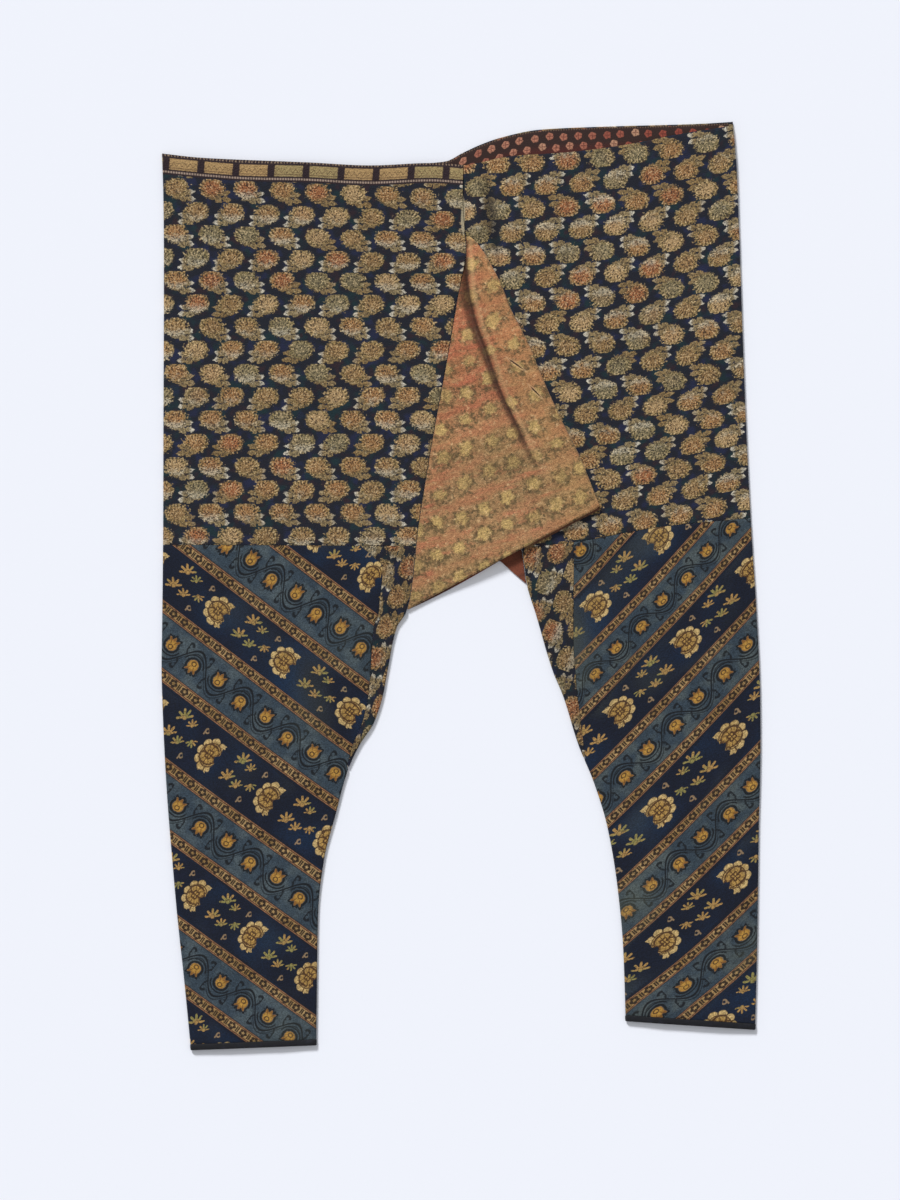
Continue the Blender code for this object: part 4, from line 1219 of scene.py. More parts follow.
def sprig_cloth(name, sprigs, border=False, front=True):
    """Near-black cloth with rows of sprigs in tan, sage, orange and ivory thread: a fan-shaped
    flower on a stem with pointed leaves, in brickwork, mirrored in every second row."""
    material, (u, v, below) = new_cloth(name)
    rough, fine = noise(u, v, 2.4, 1.0), noise(u, v, 1.1, 0.0, 2.0)
    thread = noise(u, v, 1.7, 1.0, 21.0)
    row, y = cell(v, sprigs.up, sprigs.up_start)
    flip = odd(row)
    column, x = cell(u - flip * sprigs.shift, sprigs.across, sprigs.across_start)
    way = -1.0 if sprigs.turned else 1.0
    luck, luck_b = chance(row, column, 3.0), chance(row, column, 7.0)
    wild = noise(u, v, 5.0, 1.0, 11.0)
    x = x * (flip * (-2.0 * way) + way) + rough * 1.0 + wild * 1.2 + (luck_b - 0.5) * 1.8
    y = y * way + noise(u, v, 2.4, 1.0, 17.0) * 1.0 - wild * 0.6 + (luck - 0.5) * 1.6
    broad, broad_b = noise(u, v, 60.0, 1.0, 5.0), noise(u, v, 70.0, 1.0, 9.0)
    patch = noise(u, v, 11.0, 1.0, 4.0)

    ground = coated(
        rgb(23, 26, 38),
        (ramp(patch, 0.0, 0.7), rgb(28, 34, 62)),
        (ramp(noise(u, v, 13.0, 1.0, 6.0), 0.0, 0.7), rgb(18, 42, 48)),
        (ramp(patch, -0.2, -0.8), rgb(42, 28, 36)),
    )
    ground = lit(ground, fine * 0.25 + 1.0)

    flower_x, flower_y = (x + 4.4) / 12.0, (y - 2.7) / 9.7
    out, turn = length(flower_x, flower_y), angle(x + 3.6, y + 3.2)
    share = out + wave(turn, 15.0) * 0.04 + rough * 0.22 + thread * 0.15 + wild * 0.1
    flower = ramp(share, 1.14, 0.92)
    leaf = most(*[petal(x, y, *shape) for shape in LEAVES])
    leaves = ramp(leaf + rough * 1.1 + thread * 0.8, -0.5, 0.5)
    palette = [
        (0.0, rgb(162, 119, 74)),
        (0.24, rgb(134, 122, 90)),
        (0.46, rgb(166, 106, 66)),
        (0.58, rgb(182, 150, 106)),
        (0.74, rgb(154, 121, 78)),
    ]
    heart = grade(luck, palette)
    heart = coated(
        heart,
        (ramp(broad + luck_b * 0.5, 0.3, 1.2) * 0.5, rgb(166, 112, 70)),
        (ramp(share, 0.5, 0.95) * 0.6, rgb(142, 124, 76)),
    )
    pale = ramp(luck_b + wild * 0.4, 0.35, 0.95) * ramp(flower_y + rough * 0.4, 0.0, -0.7)
    heart = mix(pale * 0.6, heart, rgb(214, 206, 184))
    strokes = wave(turn, 24.0) * 0.55 + rough * 1.1 + thread * 1.9
    heart = coated(
        heart,
        (ramp(strokes, 0.0, 1.1) * ramp(out, -0.1, 0.3) * 0.86, rgb(38, 32, 32)),
        (ramp(strokes, -0.4, -1.3) * 0.65, rgb(216, 190, 146)),
    )
    leafy = mix(luck_b, rgb(146, 118, 74), rgb(150, 132, 96))
    tips = ramp(x, 8.5, 13.0) * ramp(luck_b + luck * 0.5, 0.4, 0.9)
    leafy = coated(
        leafy,
        (tips * 0.85, rgb(214, 208, 192)),
        (ramp(leaf, 1.7, 2.5) * 0.5, rgb(64, 54, 46)),
        (ramp(rough * 0.7 + thread, 0.1, 0.8) * 0.75, rgb(50, 44, 40)),
        (ramp(thread, -0.2, -0.7) * 0.4, rgb(204, 190, 148)),
    )
    threads = mix(flower, leafy, heart)
    threads = lit(threads, rough * 0.2 + fine * 0.5 + 0.92)
    there = most(flower, leaves)
    gap = near(share - 1.04, 0.05, 0.1) * leaves * 0.45
    colour = coated(
        ground,
        (there, threads),
        (gap, rgb(34, 32, 40)),
    )
    relief = there * 0.6 + fine * 0.2 + strokes * flower * 0.2
    if border:
        colour = waist_border(u, below, colour, rough, fine)
    if front:
        colour = centre_front(u, v, colour, rough)
    colour = lit(colour, broad_b * 0.09 + sprigs.gain)
    return finish_cloth(material, colour, relief, depth=0.6)


# The centre front, from end to end in the photograph's pixels.
EDGE_THREADS = ((462.5, 192), (463.5, 230))
SHADED_FOLD = ((486, 172), (499, 268))


def centre_front(u, v, colour, rough):
    """The centre front: painted shade in a dark fold, and the pale threads of a turned edge."""
    foot, tip = [(photo_x(px), photo_y(py)) for px, py in SHADED_FOLD]
    fold = petal(u, v, foot, tip, 9.0)
    # Painted shade: the fold right of the centre front is darkened to near black.
    colour = mix(ramp(fold + rough, -2.0, 8.0) * 0.7, colour, rgb(18, 17, 24))
    foot, tip = [(photo_x(px), photo_y(py)) for px, py in EDGE_THREADS]
    edge = petal(u, v, foot, tip, 2.3)
    return mix(ramp(edge + rough * 0.4, -0.3, 0.7) * 0.85, colour, rgb(178, 166, 138))


BLOCK_PITCH, BLOCK_START, BLOCK_HALF = 35.9, -283.75, 14.3


def waist_border(u, below, colour, rough, fine):
    """The woven end of the left leg's cloth: pale blocks between dark bars, then a dotted line
    between two dark ones, at set distances below the edge."""
    index, beside = cell(u + below * 0.08, BLOCK_PITCH, BLOCK_START)
    luck = chance(index, index, 8.0)
    golds = [(0.0, rgb(166, 136, 92)), (0.45, rgb(152, 134, 92)), (0.75, rgb(164, 116, 82))]
    gold = grade(luck, golds)
    gold = mix(ramp(rough + fine * 0.5, 0.0, 0.8) * 0.6, gold, rgb(104, 78, 52))
    gold = lit(gold, rough * 0.3 + fine * 0.6 + 1.14)
    from_middle = below - 9.4
    inside = near(beside + rough * 0.4, BLOCK_HALF, 1.4) * near(from_middle + rough * 0.3, 5.7, 1.2)
    frame_line = near(from_middle - 3.9, 0.5, 0.9)
    scribble = near(from_middle + math("SINE", beside * 1.1) * 1.7, 0.55, 1.0)
    gold = mix(most(frame_line, scribble) * 0.62, gold, rgb(80, 52, 40))
    band = mix(inside, lit(rgb(42, 28, 34), fine * 0.2 + 1.0), gold)
    beads = ramp(math("SINE", u * 2.3), -0.5, 0.5)
    dotted = near(below - 17.8, 1.0, 0.9) * (beads * 0.7 + 0.3)
    band = mix(dotted, band, rgb(170, 148, 132))
    stitches = ramp(math("SINE", u * 1.9 + rough * 2.0), -0.2, 0.8) * near(below - 0.9, 0.9, 1.0)
    band = mix(stitches * 0.8, band, rgb(150, 128, 104))
    return mix(ramp(below, 21.0, 20.3), colour, band)


def facing_cloth(name):
    """Dark brown cloth with staggered rows of red rosettes."""
    material, (u, v, below) = new_cloth(name)
    rough, fine = noise(u, v, 2.2, 1.0), noise(u, v, 1.0, 0.0, 2.0)
    row, y = cell(below + rough * 0.4, 10.9, 7.0)
    column, x = cell(u - odd(row) * 7.2, 14.7, 2.0)
    luck, luck_b = chance(row, column, 4.0), chance(row, column, 9.0)
    x, y = x + rough * 0.6 + (luck_b - 0.5) * 2.4, y + (luck - 0.5) * 2.4
    out = length(x, y)
    dot = ramp(out + wave(angle(x, y), 5.0) * 0.25 + rough * 0.5, 4.3, 3.2)
    right = ramp(u, 20.0, 230.0)
    red = coated(
        rgb(176, 122, 98),
        (right, rgb(142, 66, 52)),
        (ramp(luck, 0.6, 0.95) * 0.7, rgb(196, 160, 128)),
        (ramp(luck_b, 0.4, 0.0) * 0.6, rgb(140, 66, 54)),
    )
    cross = most(near(x, 0.45, 0.9), near(y, 0.45, 0.9)) * ramp(out, 3.4, 2.4)
    red = mix(cross * 0.75, red, rgb(84, 34, 30))
    red = lit(red, rough * 0.3 + fine * 0.3 + 0.9)
    ground = mix(ramp(below + rough * 2.0, 12.0, 26.0), rgb(48, 31, 28), rgb(76, 32, 28))
    colour = mix(dot, lit(ground, fine * 0.3 + 1.0), red)
    stitches = ramp(math("SINE", u * 2.4 + rough), -0.2, 0.8) * ramp(below, 1.8, 0.6)
    colour = mix(stitches * 0.5, colour, rgb(140, 116, 96))
    return finish_cloth(material, colour, dot * 0.3 + fine * 0.15, depth=0.4)


# The navy band: where its buds and curls lie along and across from the big flower, in millimetres.
Spot = namedtuple("Spot", "along across size up")
BUDS = (
    Spot(-50.0, -14.4, 1.15, True),
    Spot(-37.0, -12.4, 0.8, True),
    Spot(-54.0, 8.2, 1.1, True),
    Spot(-39.5, 10.0, 0.9, True),
    Spot(-26.4, 0.4, 0.8, False),
)
CURLS = (Spot(-18.5, -17.8, 1.0, True), Spot(-26.5, 18.0, 1.0, True))


def peony(x, y, rough):
    """The big flower: a scalloped fan that opens backwards, notched in front between two pointed
    petals, with four rings of petal edges and a cross drawn inside. It gives what is there, what
    is line, and how far out."""
    out, turn = length(x - 1.0, y * 0.92), angle(1.0 - x, y)
    scallop = math("ABSOLUTE", wave(turn, 4.5, 12))
    share = (out + rough * 0.5) / (scallop * 2.6 + 14.6)
    wide, deep = math("ABSOLUTE", y), math("ABSOLUTE", x + 0.6)
    notch = x - wide * 0.24 - 8.0 + wave(y, 0.55) * 1.4 + rough
    left_tip = petal(x, y, (2.0, -11.0), (11.8, -16.6), 1.8)
    tips = most(left_tip, petal(x, y, (0.0, 12.0), (8.4, 18.0), 1.7))
    there = most(ramp(share, 1.03, 0.95) * ramp(notch, 0.7, -0.4), ramp(tips, -0.2, 0.4))
    ring = length(deep - 4.4 + rough * 0.6, wide - 6.4)
    lines = most(
        near(ring - 4.6 - wave(angle(deep, wide), 4.0, 45) * 1.6 + rough * 0.8, 0.85, 0.9),
        near(deep - wide * 0.6 + rough, 0.5, 0.8) * ramp(ring, 4.6, 3.6) * 0.85,
        near(scallop, 0.22, 0.3) * ramp(share, 0.66, 0.76),
        near(share + scallop * 0.12 - 0.8, 0.035, 0.05),
        near(wide, 0.5, 0.8) * ramp(deep, 9.5, 8.5),
        near(deep, 0.5, 0.8) * ramp(wide, 11.5, 10.5),
        near(notch + 2.2, 0.4, 0.8) * ramp(share, 0.95, 0.85) * 0.8,
    )
    return there, lines, share


def bud(x, y, spot):
    """A small flower of five narrow petals on a round foot."""
    way = 1.0 if spot.up else -1.0
    x, y = (x - spot.along) * way, (y - spot.across) * way
    out, turn = length(x, y), angle(x, y)
    crown = ramp(wave(turn), -0.35, 0.1)
    reach = (ramp(wave(turn, 8.4), -1.1, 0.9) * 5.0 + 1.4) * crown + 2.2
    return ramp(out - reach * spot.size, 0.5, -0.5) * (1.0 - near(out - 2.4, 0.4, 0.8) * 0.5)


def curl(x, y, spot):
    """A small hook: an open ring with a tail."""
    x, y = x - spot.along, y - spot.across
    ring = near(length(x, y) - 2.3, 0.8, 0.9) * ramp(x - y, 3.0, 1.6)
    tail = near(x + 2.0, 0.8, 0.9) * near(y - 1.6, 3.4, 0.9)
    return most(ring, tail)


def turned(x, y, degrees):
    """A point seen in axes turned by an angle."""
    cosine, sine = np.cos(np.radians(degrees)), np.sin(np.radians(degrees))
    return x * cosine + y * sine, y * cosine - x * sine


BUD_LEAN = -128.0
NAVY_SHIFT, GREY_SHIFT = -24.0, -10.6
GREY_MIDDLE, NAVY_MIDDLE, GREY_HALF = 0.2275, 0.7275, 29.12


def striped_cloth(name, grey_a, grey_b, faded):
    """Slanted bands: navy with flowers, grey-blue with tulips on a vine, and narrow guards."""
    material, (u, v, _) = new_cloth(name)
    rough, fine = noise(u, v, 2.6, 1.0), noise(u, v, 1.1, 0.0, 2.0)
    broad, patch = noise(u, v, 70.0, 1.0, 5.0), noise(u, v, 17.0, 1.0, 8.0)
    turn = math("FRACT", v / STRIPE_ACROSS + 0.25) - 0.25
    from_grey = (turn - GREY_MIDDLE) * STRIPE_ACROSS
    from_navy = (turn - NAVY_MIDDLE) * STRIPE_ACROSS
    from_navy = from_navy + ramp(turn, 0.0, -0.001) * STRIPE_ACROSS
    guard_side = math("ABSOLUTE", from_grey) - GREY_HALF
    to_guard = math("ABSOLUTE", guard_side)
    in_grey = ramp(guard_side, 0.3, -0.3)

    navy = coated(
        rgb(13, 21, 40),
        (ramp(broad, -0.2, 0.9), rgb(14, 37, 64)),
        (ramp(patch, 0.1, 0.9) * 0.5, rgb(22, 30, 52)),
    )
    grey = mix(ramp(patch, -0.4, 0.7), grey_a, grey_b)
    ground = lit(mix(in_grey, navy, grey), rough * 0.10 + fine * 0.16 + 0.97)

    # Each cell of the navy band holds one whole flower and the buds before it.
    _, along = cell(u, STRIPE_ALONG, NAVY_SHIFT)
    along = along + NAVY_SHIFT
    there, lines, share = peony(along + rough * 0.5, from_navy + rough * 0.5, rough)
    cream = coated(
        rgb(172, 136, 74),
        (ramp(share, 0.5, 0.85), rgb(194, 166, 112)),
        (ramp(patch, 0.0, 0.8) * 0.5, rgb(160, 124, 62)),
    )
    flower = mix(lines * 0.92, lit(cream, rough * 0.34 + fine * 0.2 + 0.98), rgb(62, 34, 22))
    bud_x, bud_y = turned(along + rough * 0.6, from_navy + rough * 0.5, BUD_LEAN)
    leaning = [turned(spot.along, spot.across, BUD_LEAN) for spot in BUDS]
    spots = [spot._replace(along=x, across=y) for spot, (x, y) in zip(BUDS, leaning)]
    small = most(*[bud(bud_x, bud_y, spot) for spot in spots])
    hooks = most(*[curl(along, from_navy, spot) for spot in CURLS])
    petals = coated(
        rgb(178, 140, 82),
        (ramp(patch, -0.1, 0.4), rgb(146, 138, 80)),
        (ramp(rough, -0.1, 0.6) * 0.8, rgb(88, 68, 38)),
        (hooks, rgb(150, 126, 98)),
    )
    on_navy = mix(there, mix(most(small, hooks * 0.9), ground, petals), flower)

    # The grey band's tulips point to either side in turn, and a vine winds round their feet.
    third = STRIPE_ALONG / 3.0
    index, step = cell(u, third, GREY_SHIFT)
    way = odd(index) * 2.0 - 1.0
    x, y = step + rough * 0.4, from_grey * way + rough * 0.4 - 1.4
    out, spin = length(x, y), angle(y, x)
    crown = ramp(wave(spin), 0.35, 0.8)
    reach = (wave(spin, 10.0) * 1.7 + 2.3) * crown + 5.6
    tulip = ramp(out - reach, 0.5, -0.5)
    outline = near(out - reach - 1.6, 1.15, 0.9)
    spikes = near(out - reach - 3.6, 1.3, 0.9) * ramp(wave(spin, 10.0, 180), 0.35, 0.8) * crown
    cup = near(out - 10.6, 0.75, 0.9) * ramp(wave(spin), 0.1, -0.3)
    eye = length(x, y + 1.6)
    stem = near(math("ABSOLUTE", x) - y * 0.35 - 1.2, 0.45, 0.8)
    yellow = coated(
        rgb(186, 142, 64),
        (ramp(out, 2.5, 7.5), rgb(134, 92, 40)),
        (stem * ramp(y, 0.5, 2.0) * 0.7, rgb(84, 52, 28)),
        (near(eye - 2.2, 0.6, 0.9) * 0.9, rgb(58, 36, 26)),
        (ramp(rough, 0.1, 0.8) * 0.6, rgb(122, 76, 40)),
    )
    winding = from_grey + math("SINE", (u - GREY_SHIFT) * (np.pi / third) - np.pi / 2) * 15.0
    vine = most(near(winding, 1.3, 0.9), near(winding - 3.8, 0.7, 0.8) * 0.8) * ramp(out, 9.5, 10.5)
    hook_x, hook_y = math("ABSOLUTE", x) - 12.2, y + 14.6
    scroll = near(length(hook_x, hook_y * 0.8) - 2.6, 1.2, 0.9) * ramp(hook_x - hook_y, -3.0, -1.6)
    twig = near(hook_x + hook_y * 0.5 - 4.0, 1.1, 0.9) * near(hook_y - 5.0, 4.5, 1.0)
    hem = near(math("ABSOLUTE", from_grey) - 22.4, 0.35, 0.8) * 0.5
    drawn = most(outline, spikes, cup, vine, scroll * 0.95, twig * 0.9, hem)
    on_grey = coated(
        ground,
        (drawn * 0.94, rgb(13, 16, 22)),
        (tulip, yellow),
    )
    colour = mix(in_grey, on_navy, on_grey)

    # The guards: an ochre band with dark rosettes and bars, between fine lines.
    _, place = cell(u, 13.6, 0.0)
    spot = length(place, guard_side)
    spokes = wave(angle(place, guard_side), 5.0) * 0.5
    rosette = near(spot - 2.75 + rough * 0.25, spokes + 1.35, 0.9)
    bars = near(math("ABSOLUTE", place) - 5.9, 0.7, 0.8) * near(guard_side, 3.2, 0.8)
    band = coated(
        rgb(144, 114, 68),
        (ramp(noise(u, v, 24.0, 1.0, 6.0), -0.5, 0.7), rgb(172, 142, 96)),
        (ramp(to_guard, 3.2, 4.2) * 0.5, rgb(160, 102, 68)),
        (most(rosette, bars) * 0.94, rgb(32, 20, 18)),
    )
    edge = mix(near(to_guard - 5.3, 0.5, 0.7), rgb(26, 20, 22), rgb(142, 100, 70))
    guard = mix(ramp(to_guard, 4.4, 4.0), edge, band)
    guard = lit(guard, rough * 0.2 + fine * 0.2 + 0.97)
    colour = coated(
        colour,
        (ramp(to_guard, 6.5, 6.0), guard),
        (ramp(noise(u, v, 90.0, 1.0, 12.0), 0.1, 1.0) * faded, rgb(92, 98, 84)),
    )
    colour = lit(colour, fine * 0.24 + rough * 0.16 + broad * 0.06 + 0.82)
    relief = fine * 0.25 + rough * 0.15
    return finish_cloth(material, colour, relief, depth=0.4, sheen=0.08)


# Two short splits in the gusset, from end to end in the photograph's pixels.
SPLITS = (((509, 360), (523, 370)), ((530, 387), (540, 397)))


def gusset_cloth(name, inside=False):
    """Salmon cloth with faded slanted bands, and ochre flowers on grey-green leaves in staggered
    rows. The front has painted shade down its crease and a painted highlight on the ridge to its
    right, and the inside is a dull red darkened by painted shade under the pleat."""
    material, (u, v, beside) = new_cloth(name)
    rough, fine = noise(u, v, 2.8, 1.0), noise(u, v, 1.1, 0.0, 2.0)
    broad, blotch = noise(u, v, 75.0, 1.0, 5.0), noise(u, v, 17.0, 2.0, 29.0)
    streak = noise(u, v + u * 0.16, 7.5, 2.0, 3.0, stretch=0.25)
    thin, fleck = noise(u, v + u * 0.16, 4.2, 2.0, 23.0, stretch=0.22), noise(u, v, 3.8, 2.0, 13.0)
    row, y = cell(v + broad * 5.0 + blotch * 2.0, 29.0, 8.0)
    column, x = cell(u - odd(row) * 12.0 + broad * 6.0, 26.0, 4.0)
    luck, luck_b = chance(row, column, 6.0), chance(row, column, 2.0)
    x = x + rough * 1.3 + blotch * 2.0 + (luck_b - 0.5) * 5.0
    y = y + rough * 0.8 + (luck - 0.5) * 7.0
    low = ramp(v + broad * 30.0, 230.0, 70.0)
    ground = mix(low, rgb(168, 110, 74), rgb(158, 124, 84))
    banded = ramp(math("ABSOLUTE", y) + broad * 3.0 + rough, 7.0, 14.0) * (1.0 - low * 0.45)
    ground = mix(banded * 0.6, ground, rgb(174, 98, 70))
    red = 1.0 - ramp(beside, 2.0, 20.0) * 0.5
    ground = coated(
        ground,
        (ramp(streak, 0.1, 0.8) * red * 0.6, rgb(184, 102, 76)),
        (ramp(streak, -0.1, -0.8) * 0.6, rgb(174, 138, 94)),
        (ramp(thin, 0.15, 0.8) * red * 0.4, rgb(192, 112, 86)),
        (ramp(thin, -0.15, -0.8) * 0.5, rgb(186, 150, 108)),
        (ramp(blotch, 0.1, 0.8) * 0.5, rgb(134, 96, 62)),
        (ramp(blotch, -0.1, -0.8) * 0.4, rgb(192, 138, 98)),
        (ramp(broad, 0.0, -0.9) * 0.55, rgb(152, 126, 80)),
        (ramp(beside, 3.0, 22.0) * 0.4, rgb(170, 132, 84)),
    )
    leaf_out = length(x * 0.8, y) + wave(angle(x, y), 7.0, 30) * 1.4 + rough * 2.6
    leafy = ramp(leaf_out + blotch * 1.5, 12.4, 7.6)
    speckle = ramp(noise(u, v, 3.2, 1.0, 8.0), -0.3, 0.4)
    flower_x, flower_y = x * 0.95 + (luck - 0.5) * 3.0 + rough * 0.6, y - 1.8 + fine * 0.5
    flower_out = length(flower_x, flower_y) + wave(angle(flower_x, flower_y), 5.0, 90) * 0.6
    flower = ramp(flower_out + fleck * 1.6, 7.6, 4.6)
    colour = coated(
        ground,
        (leafy * (1.0 - speckle * 0.8) * 0.85, rgb(90, 76, 48)),
        (flower * (luck_b * 0.4 + 0.4), rgb(204, 172, 108)),
    )
    drawn = most(near(flower_out - 5.4, 0.5, 1.0), near(flower_out - 2.6, 0.5, 0.9) * 0.8)
    colour = coated(
        colour,
        (drawn * leafy * 0.45 * (1.0 - speckle * 0.5), rgb(84, 60, 40)),
        (ramp(fleck, 0.15, 0.75) * 0.55, rgb(102, 68, 44)),
        (ramp(fleck, -0.25, -0.8) * 0.5, rgb(220, 184, 136)),
    )
    # Long soft folds: a bump, and in the colour a painted shade and light that follow them.
    fold_bump_and_shade = noise(u, v + u * 0.5, 34.0, 1.0, 31.0, stretch=0.3)
    colour = lit(colour, rough * 0.26 + fine * 0.36 + (blotch + fold_bump_and_shade) * 0.13 + broad * 0.08 + 0.9)
    if inside:
        # Painted shade under the pleat: the inside is darkened toward a dull red, deepest out along
        # the lip.
        colour = mix(ramp(beside, -1.0, 1.0) * 0.4 + 0.4, colour, rgb(66, 26, 20))
    else:
        # Painted shade down the crease, a wide dark band to its left and a dark core on it, and a
        # painted highlight on the pleat's ridge to its right.
        crease = ramp(v, 62.0, 135.0) * ramp(v, 356.0, 330.0)
        width = ramp(v, 150.0, 300.0) * 3.0 + 2.6
        shade = ramp(math("ABSOLUTE", beside + width * 0.7) - width, 3.4, -2.4) * crease
        colour = coated(
            colour,
            (shade * 0.72, rgb(70, 36, 22)),
            (near(beside - 0.2, 1.4, 2.6) * crease * 0.75, rgb(46, 24, 16)),
            (near(beside - 6.0, 1.8, 5.0) * crease * 0.35, rgb(214, 174, 124)),
        )
        for ends in SPLITS:
            foot, tip = [gusset_place(photo_x(px), photo_y(py)) for px, py in ends]
            split = petal(u, v, foot, tip, 0.7)
            # Painted shade: each split is a dark line, with a pale edge beside it.
            colour = mix(ramp(split, -0.3, 0.3), colour, rgb(50, 30, 24))
            colour = mix(near(split + 0.8, 0.5, 0.8) * 0.4, colour, rgb(208, 170, 130))
    relief = fine * 0.25 + rough * 0.2 + streak * 0.2 + fold_bump_and_shade * 1.6
    return finish_cloth(material, colour, relief, depth=0.5, roughness=0.75, sheen=0.12)


def shaded_lining_cloth(name):
    """The wrong side of the gusset's back, seen in the notch: dull brown-red with faint bands, made
    dark as painted shade under the pleat.
    """
    material, (u, v, _) = new_cloth(name)
    fine, streak = noise(u, v, 1.1, 0.0, 2.0), noise(u, v, 7.0, 1.0, 3.0, stretch=0.14)
    # The wrong side's brown-red, deepened as painted shade.
    colour = mix(ramp(streak, -0.5, 0.6), rgb(78, 42, 30), rgb(112, 60, 42))
    return finish_cloth(material, lit(colour, fine * 0.25 + 1.0), fine * 0.3 + streak * 0.2)


def binding_cloth(name):
    """Near-black binding with a faint twill and a few pale threads."""
    material, (u, v, _) = new_cloth(name)
    fine = noise(u, v, 0.9, 0.0, 2.0)
    twill = math("SINE", (u + v) * 2.6)
    rough = noise(u, v, 7.0, 1.0)
    colour = mix(ramp(rough, 0.0, 0.9), rgb(14, 15, 22), rgb(24, 26, 38))
    colour = lit(colour, twill * 0.18 + fine * 0.3 + 1.0)
    colour = mix(ramp(fine * 0.6 + rough * 0.5, 0.75, 1.0) * 0.5, colour, rgb(120, 116, 110))
    relief = twill * 0.3 + fine * 0.4
    return finish_cloth(material, colour, relief, depth=0.3, roughness=0.7, sheen=0.1)


# The surface it lies on, the light and the camera, in metres. The sun shines from SUN_FROM.
FLOOR_REACH, FLOOR_COLOUR = 4.0, (0.83, 0.855, 0.93, 1.0)
SUN_FROM, SUN_STRENGTH, SUN_SOFTNESS, SKY_STRENGTH = (-0.42, 0.9, 0.58), 3.4, 12.0, 0.5
CAMERA_DISTANCE, SENSOR = 4.0, 24.0


def floor():
    """A plain pale square that the trousers lie on."""
    mesh = bpy.data.meshes.new("floor")
    signs = ((-1, -1), (1, -1), (1, 1), (-1, 1))
    corners = [(x * FLOOR_REACH, y * FLOOR_REACH, 0.0) for x, y in signs]
    mesh.from_pydata(corners, [], [(0, 1, 2, 3)])
    material = bpy.data.materials.new("floor_paper")
    material.use_nodes = True
    shader = material.node_tree.nodes["Principled BSDF"]
    shader.inputs["Base Color"].default_value = FLOOR_COLOUR
    shader.inputs["Roughness"].default_value = 0.9
    mesh.materials.append(material)
    link("floor", mesh)


def camera():
    """A camera straight above the photograph's middle, whose lens takes in its whole height."""
    lens = bpy.data.cameras.new("camera")
    lens.sensor_fit = "VERTICAL"
    lens.sensor_height = SENSOR
    lens.lens = SENSOR * CAMERA_DISTANCE / (PHOTO_HEIGHT * PIXEL * MM)
    eye = link("camera", lens)
    middle = photo_x(PHOTO_WIDTH / 2) * MM, photo_y(PHOTO_HEIGHT / 2) * MM
    eye.location = (*middle, CAMERA_DISTANCE)
    bpy.context.scene.camera = eye


def studio():
    """A soft sun from beyond the waist, a little to the left, and an even white sky."""
    world = bpy.data.worlds.new("studio")
    world.use_nodes = True
    background = world.node_tree.nodes["Background"]
    background.inputs["Color"].default_value = (1.0, 1.0, 1.0, 1.0)
    background.inputs["Strength"].default_value = SKY_STRENGTH
    bpy.context.scene.world = world
    light = bpy.data.lights.new("key", "SUN")
    light.energy, light.angle = SUN_STRENGTH, np.radians(SUN_SOFTNESS)
    link("key", light).rotation_euler = Vector(SUN_FROM).to_track_quat("Z", "Y").to_euler()
    bpy.context.scene.view_settings.view_transform = "Standard"


floor()
studio()
camera()

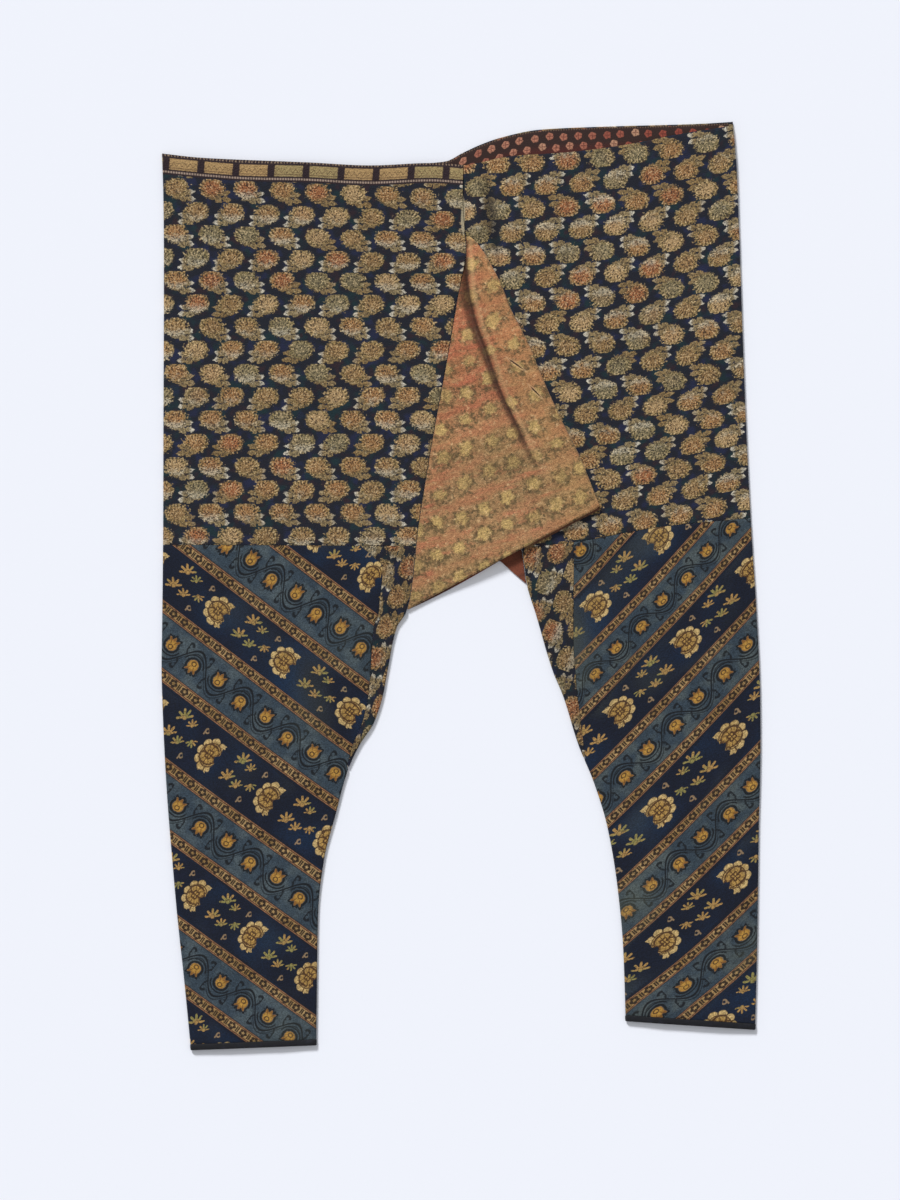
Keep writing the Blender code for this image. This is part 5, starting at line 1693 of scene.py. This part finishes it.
sheets = {
}
cloths = {
    "left_sprig": sprig_cloth("sprig_cloth_left", SPRIGS["left"], border=True),
    "right_sprig": sprig_cloth("sprig_cloth_right", SPRIGS["right"]),
    "gores": sprig_cloth("sprig_cloth_gores", SPRIGS["gore"], front=False),
    "left_stripe": striped_cloth("striped_cloth_left", rgb(52, 66, 78), rgb(76, 88, 94), 0.15),
    "right_stripe": striped_cloth("striped_cloth_right", rgb(50, 64, 76), rgb(78, 88, 90), 0.35),
    "gusset": gusset_cloth("gusset_cloth_salmon"),
    "gusset_inside_shaded": gusset_cloth("gusset_cloth_inside", inside=True),
    "shaded_lining": shaded_lining_cloth("gusset_cloth_lining"),
    "facing": facing_cloth("facing_cloth_dotted"),
    "binding": binding_cloth("binding_cloth_dark"),
}
for side, word in SIDES:
    for part, build, cloth in (
        ("upper_leg", upper_leg, f"{word}_sprig"),
        ("calf", calf, f"{word}_stripe"),
        ("gore", gore, "gores"),
        ("hem_binding", binding, "binding"),
    ):
        sheets[f"{word}_{part}"] = build(side, f"{word}_{part}_cloth", cloths[cloth])
sheets["gusset_front"], under, front_end = gusset_front("gusset_front_cloth", cloths["gusset"])
sheets["gusset_tuck"] = gusset_tuck("gusset_tuck_cloth", cloths["gusset_inside_shaded"], under, front_end)
sheets["gusset_back"] = gusset_back("gusset_back_cloth", cloths["shaded_lining"])
sheets["waist_facing"] = waist_facing("waist_facing_cloth", cloths["facing"])

# Each sheet's flat width, length and cut area, all round on a tube, in millimetres and square
# millimetres; how it is held; what it rests on; and the slot that it belongs to. The sizes are
# measured on the pieces themselves: the length all round a leg, the least rectangle round a gore
# or a gusset piece, and the area of one side of the cloth.
Cut = namedtuple("Cut", "width length area held rests_on slot")
CUTS = {
    "left_upper_leg": Cut(621, 403, 229000, "laid", ("floor",), "floral_cloth"),
    "right_upper_leg": Cut(571, 437, 211400, "laid", ("floor",), "floral_cloth"),
    "left_calf": Cut(452, 520, 182800, "laid", ("floor",), "striped_cloth"),
    "right_calf": Cut(381, 519, 168200, "laid", ("floor",), "striped_cloth"),
    "left_gore": Cut(113, 233, 10000, "folded", ("floor",), "floral_cloth"),
    "right_gore": Cut(107, 226, 12800, "folded", ("floor",), "floral_cloth"),
    "left_hem_binding": Cut(260, 10, 1880, "laid", ("floor",), "binding_cloth"),
    "right_hem_binding": Cut(269, 10, 1940, "laid", ("floor",), "binding_cloth"),
    "gusset_front": Cut(181, 388, 39100, "folded", ("gusset_back", "gusset_tuck"), "gusset_cloth"),
    "gusset_tuck": Cut(87, 269, 13500, "folded", ("gusset_back",), "gusset_cloth"),
    "gusset_back": Cut(117, 380, 23500, "laid", ("floor",), "gusset_cloth"),
    "waist_facing": Cut(295, 55, 10700, "laid", ("right_upper_leg",), "facing_cloth"),
}
for node, piece in sheets.items():
    cut = CUTS[node]
    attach(piece, "root")
    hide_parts(node)
    flat = (cut.width * MM, cut.length * MM)
    cut.area * MM * MM
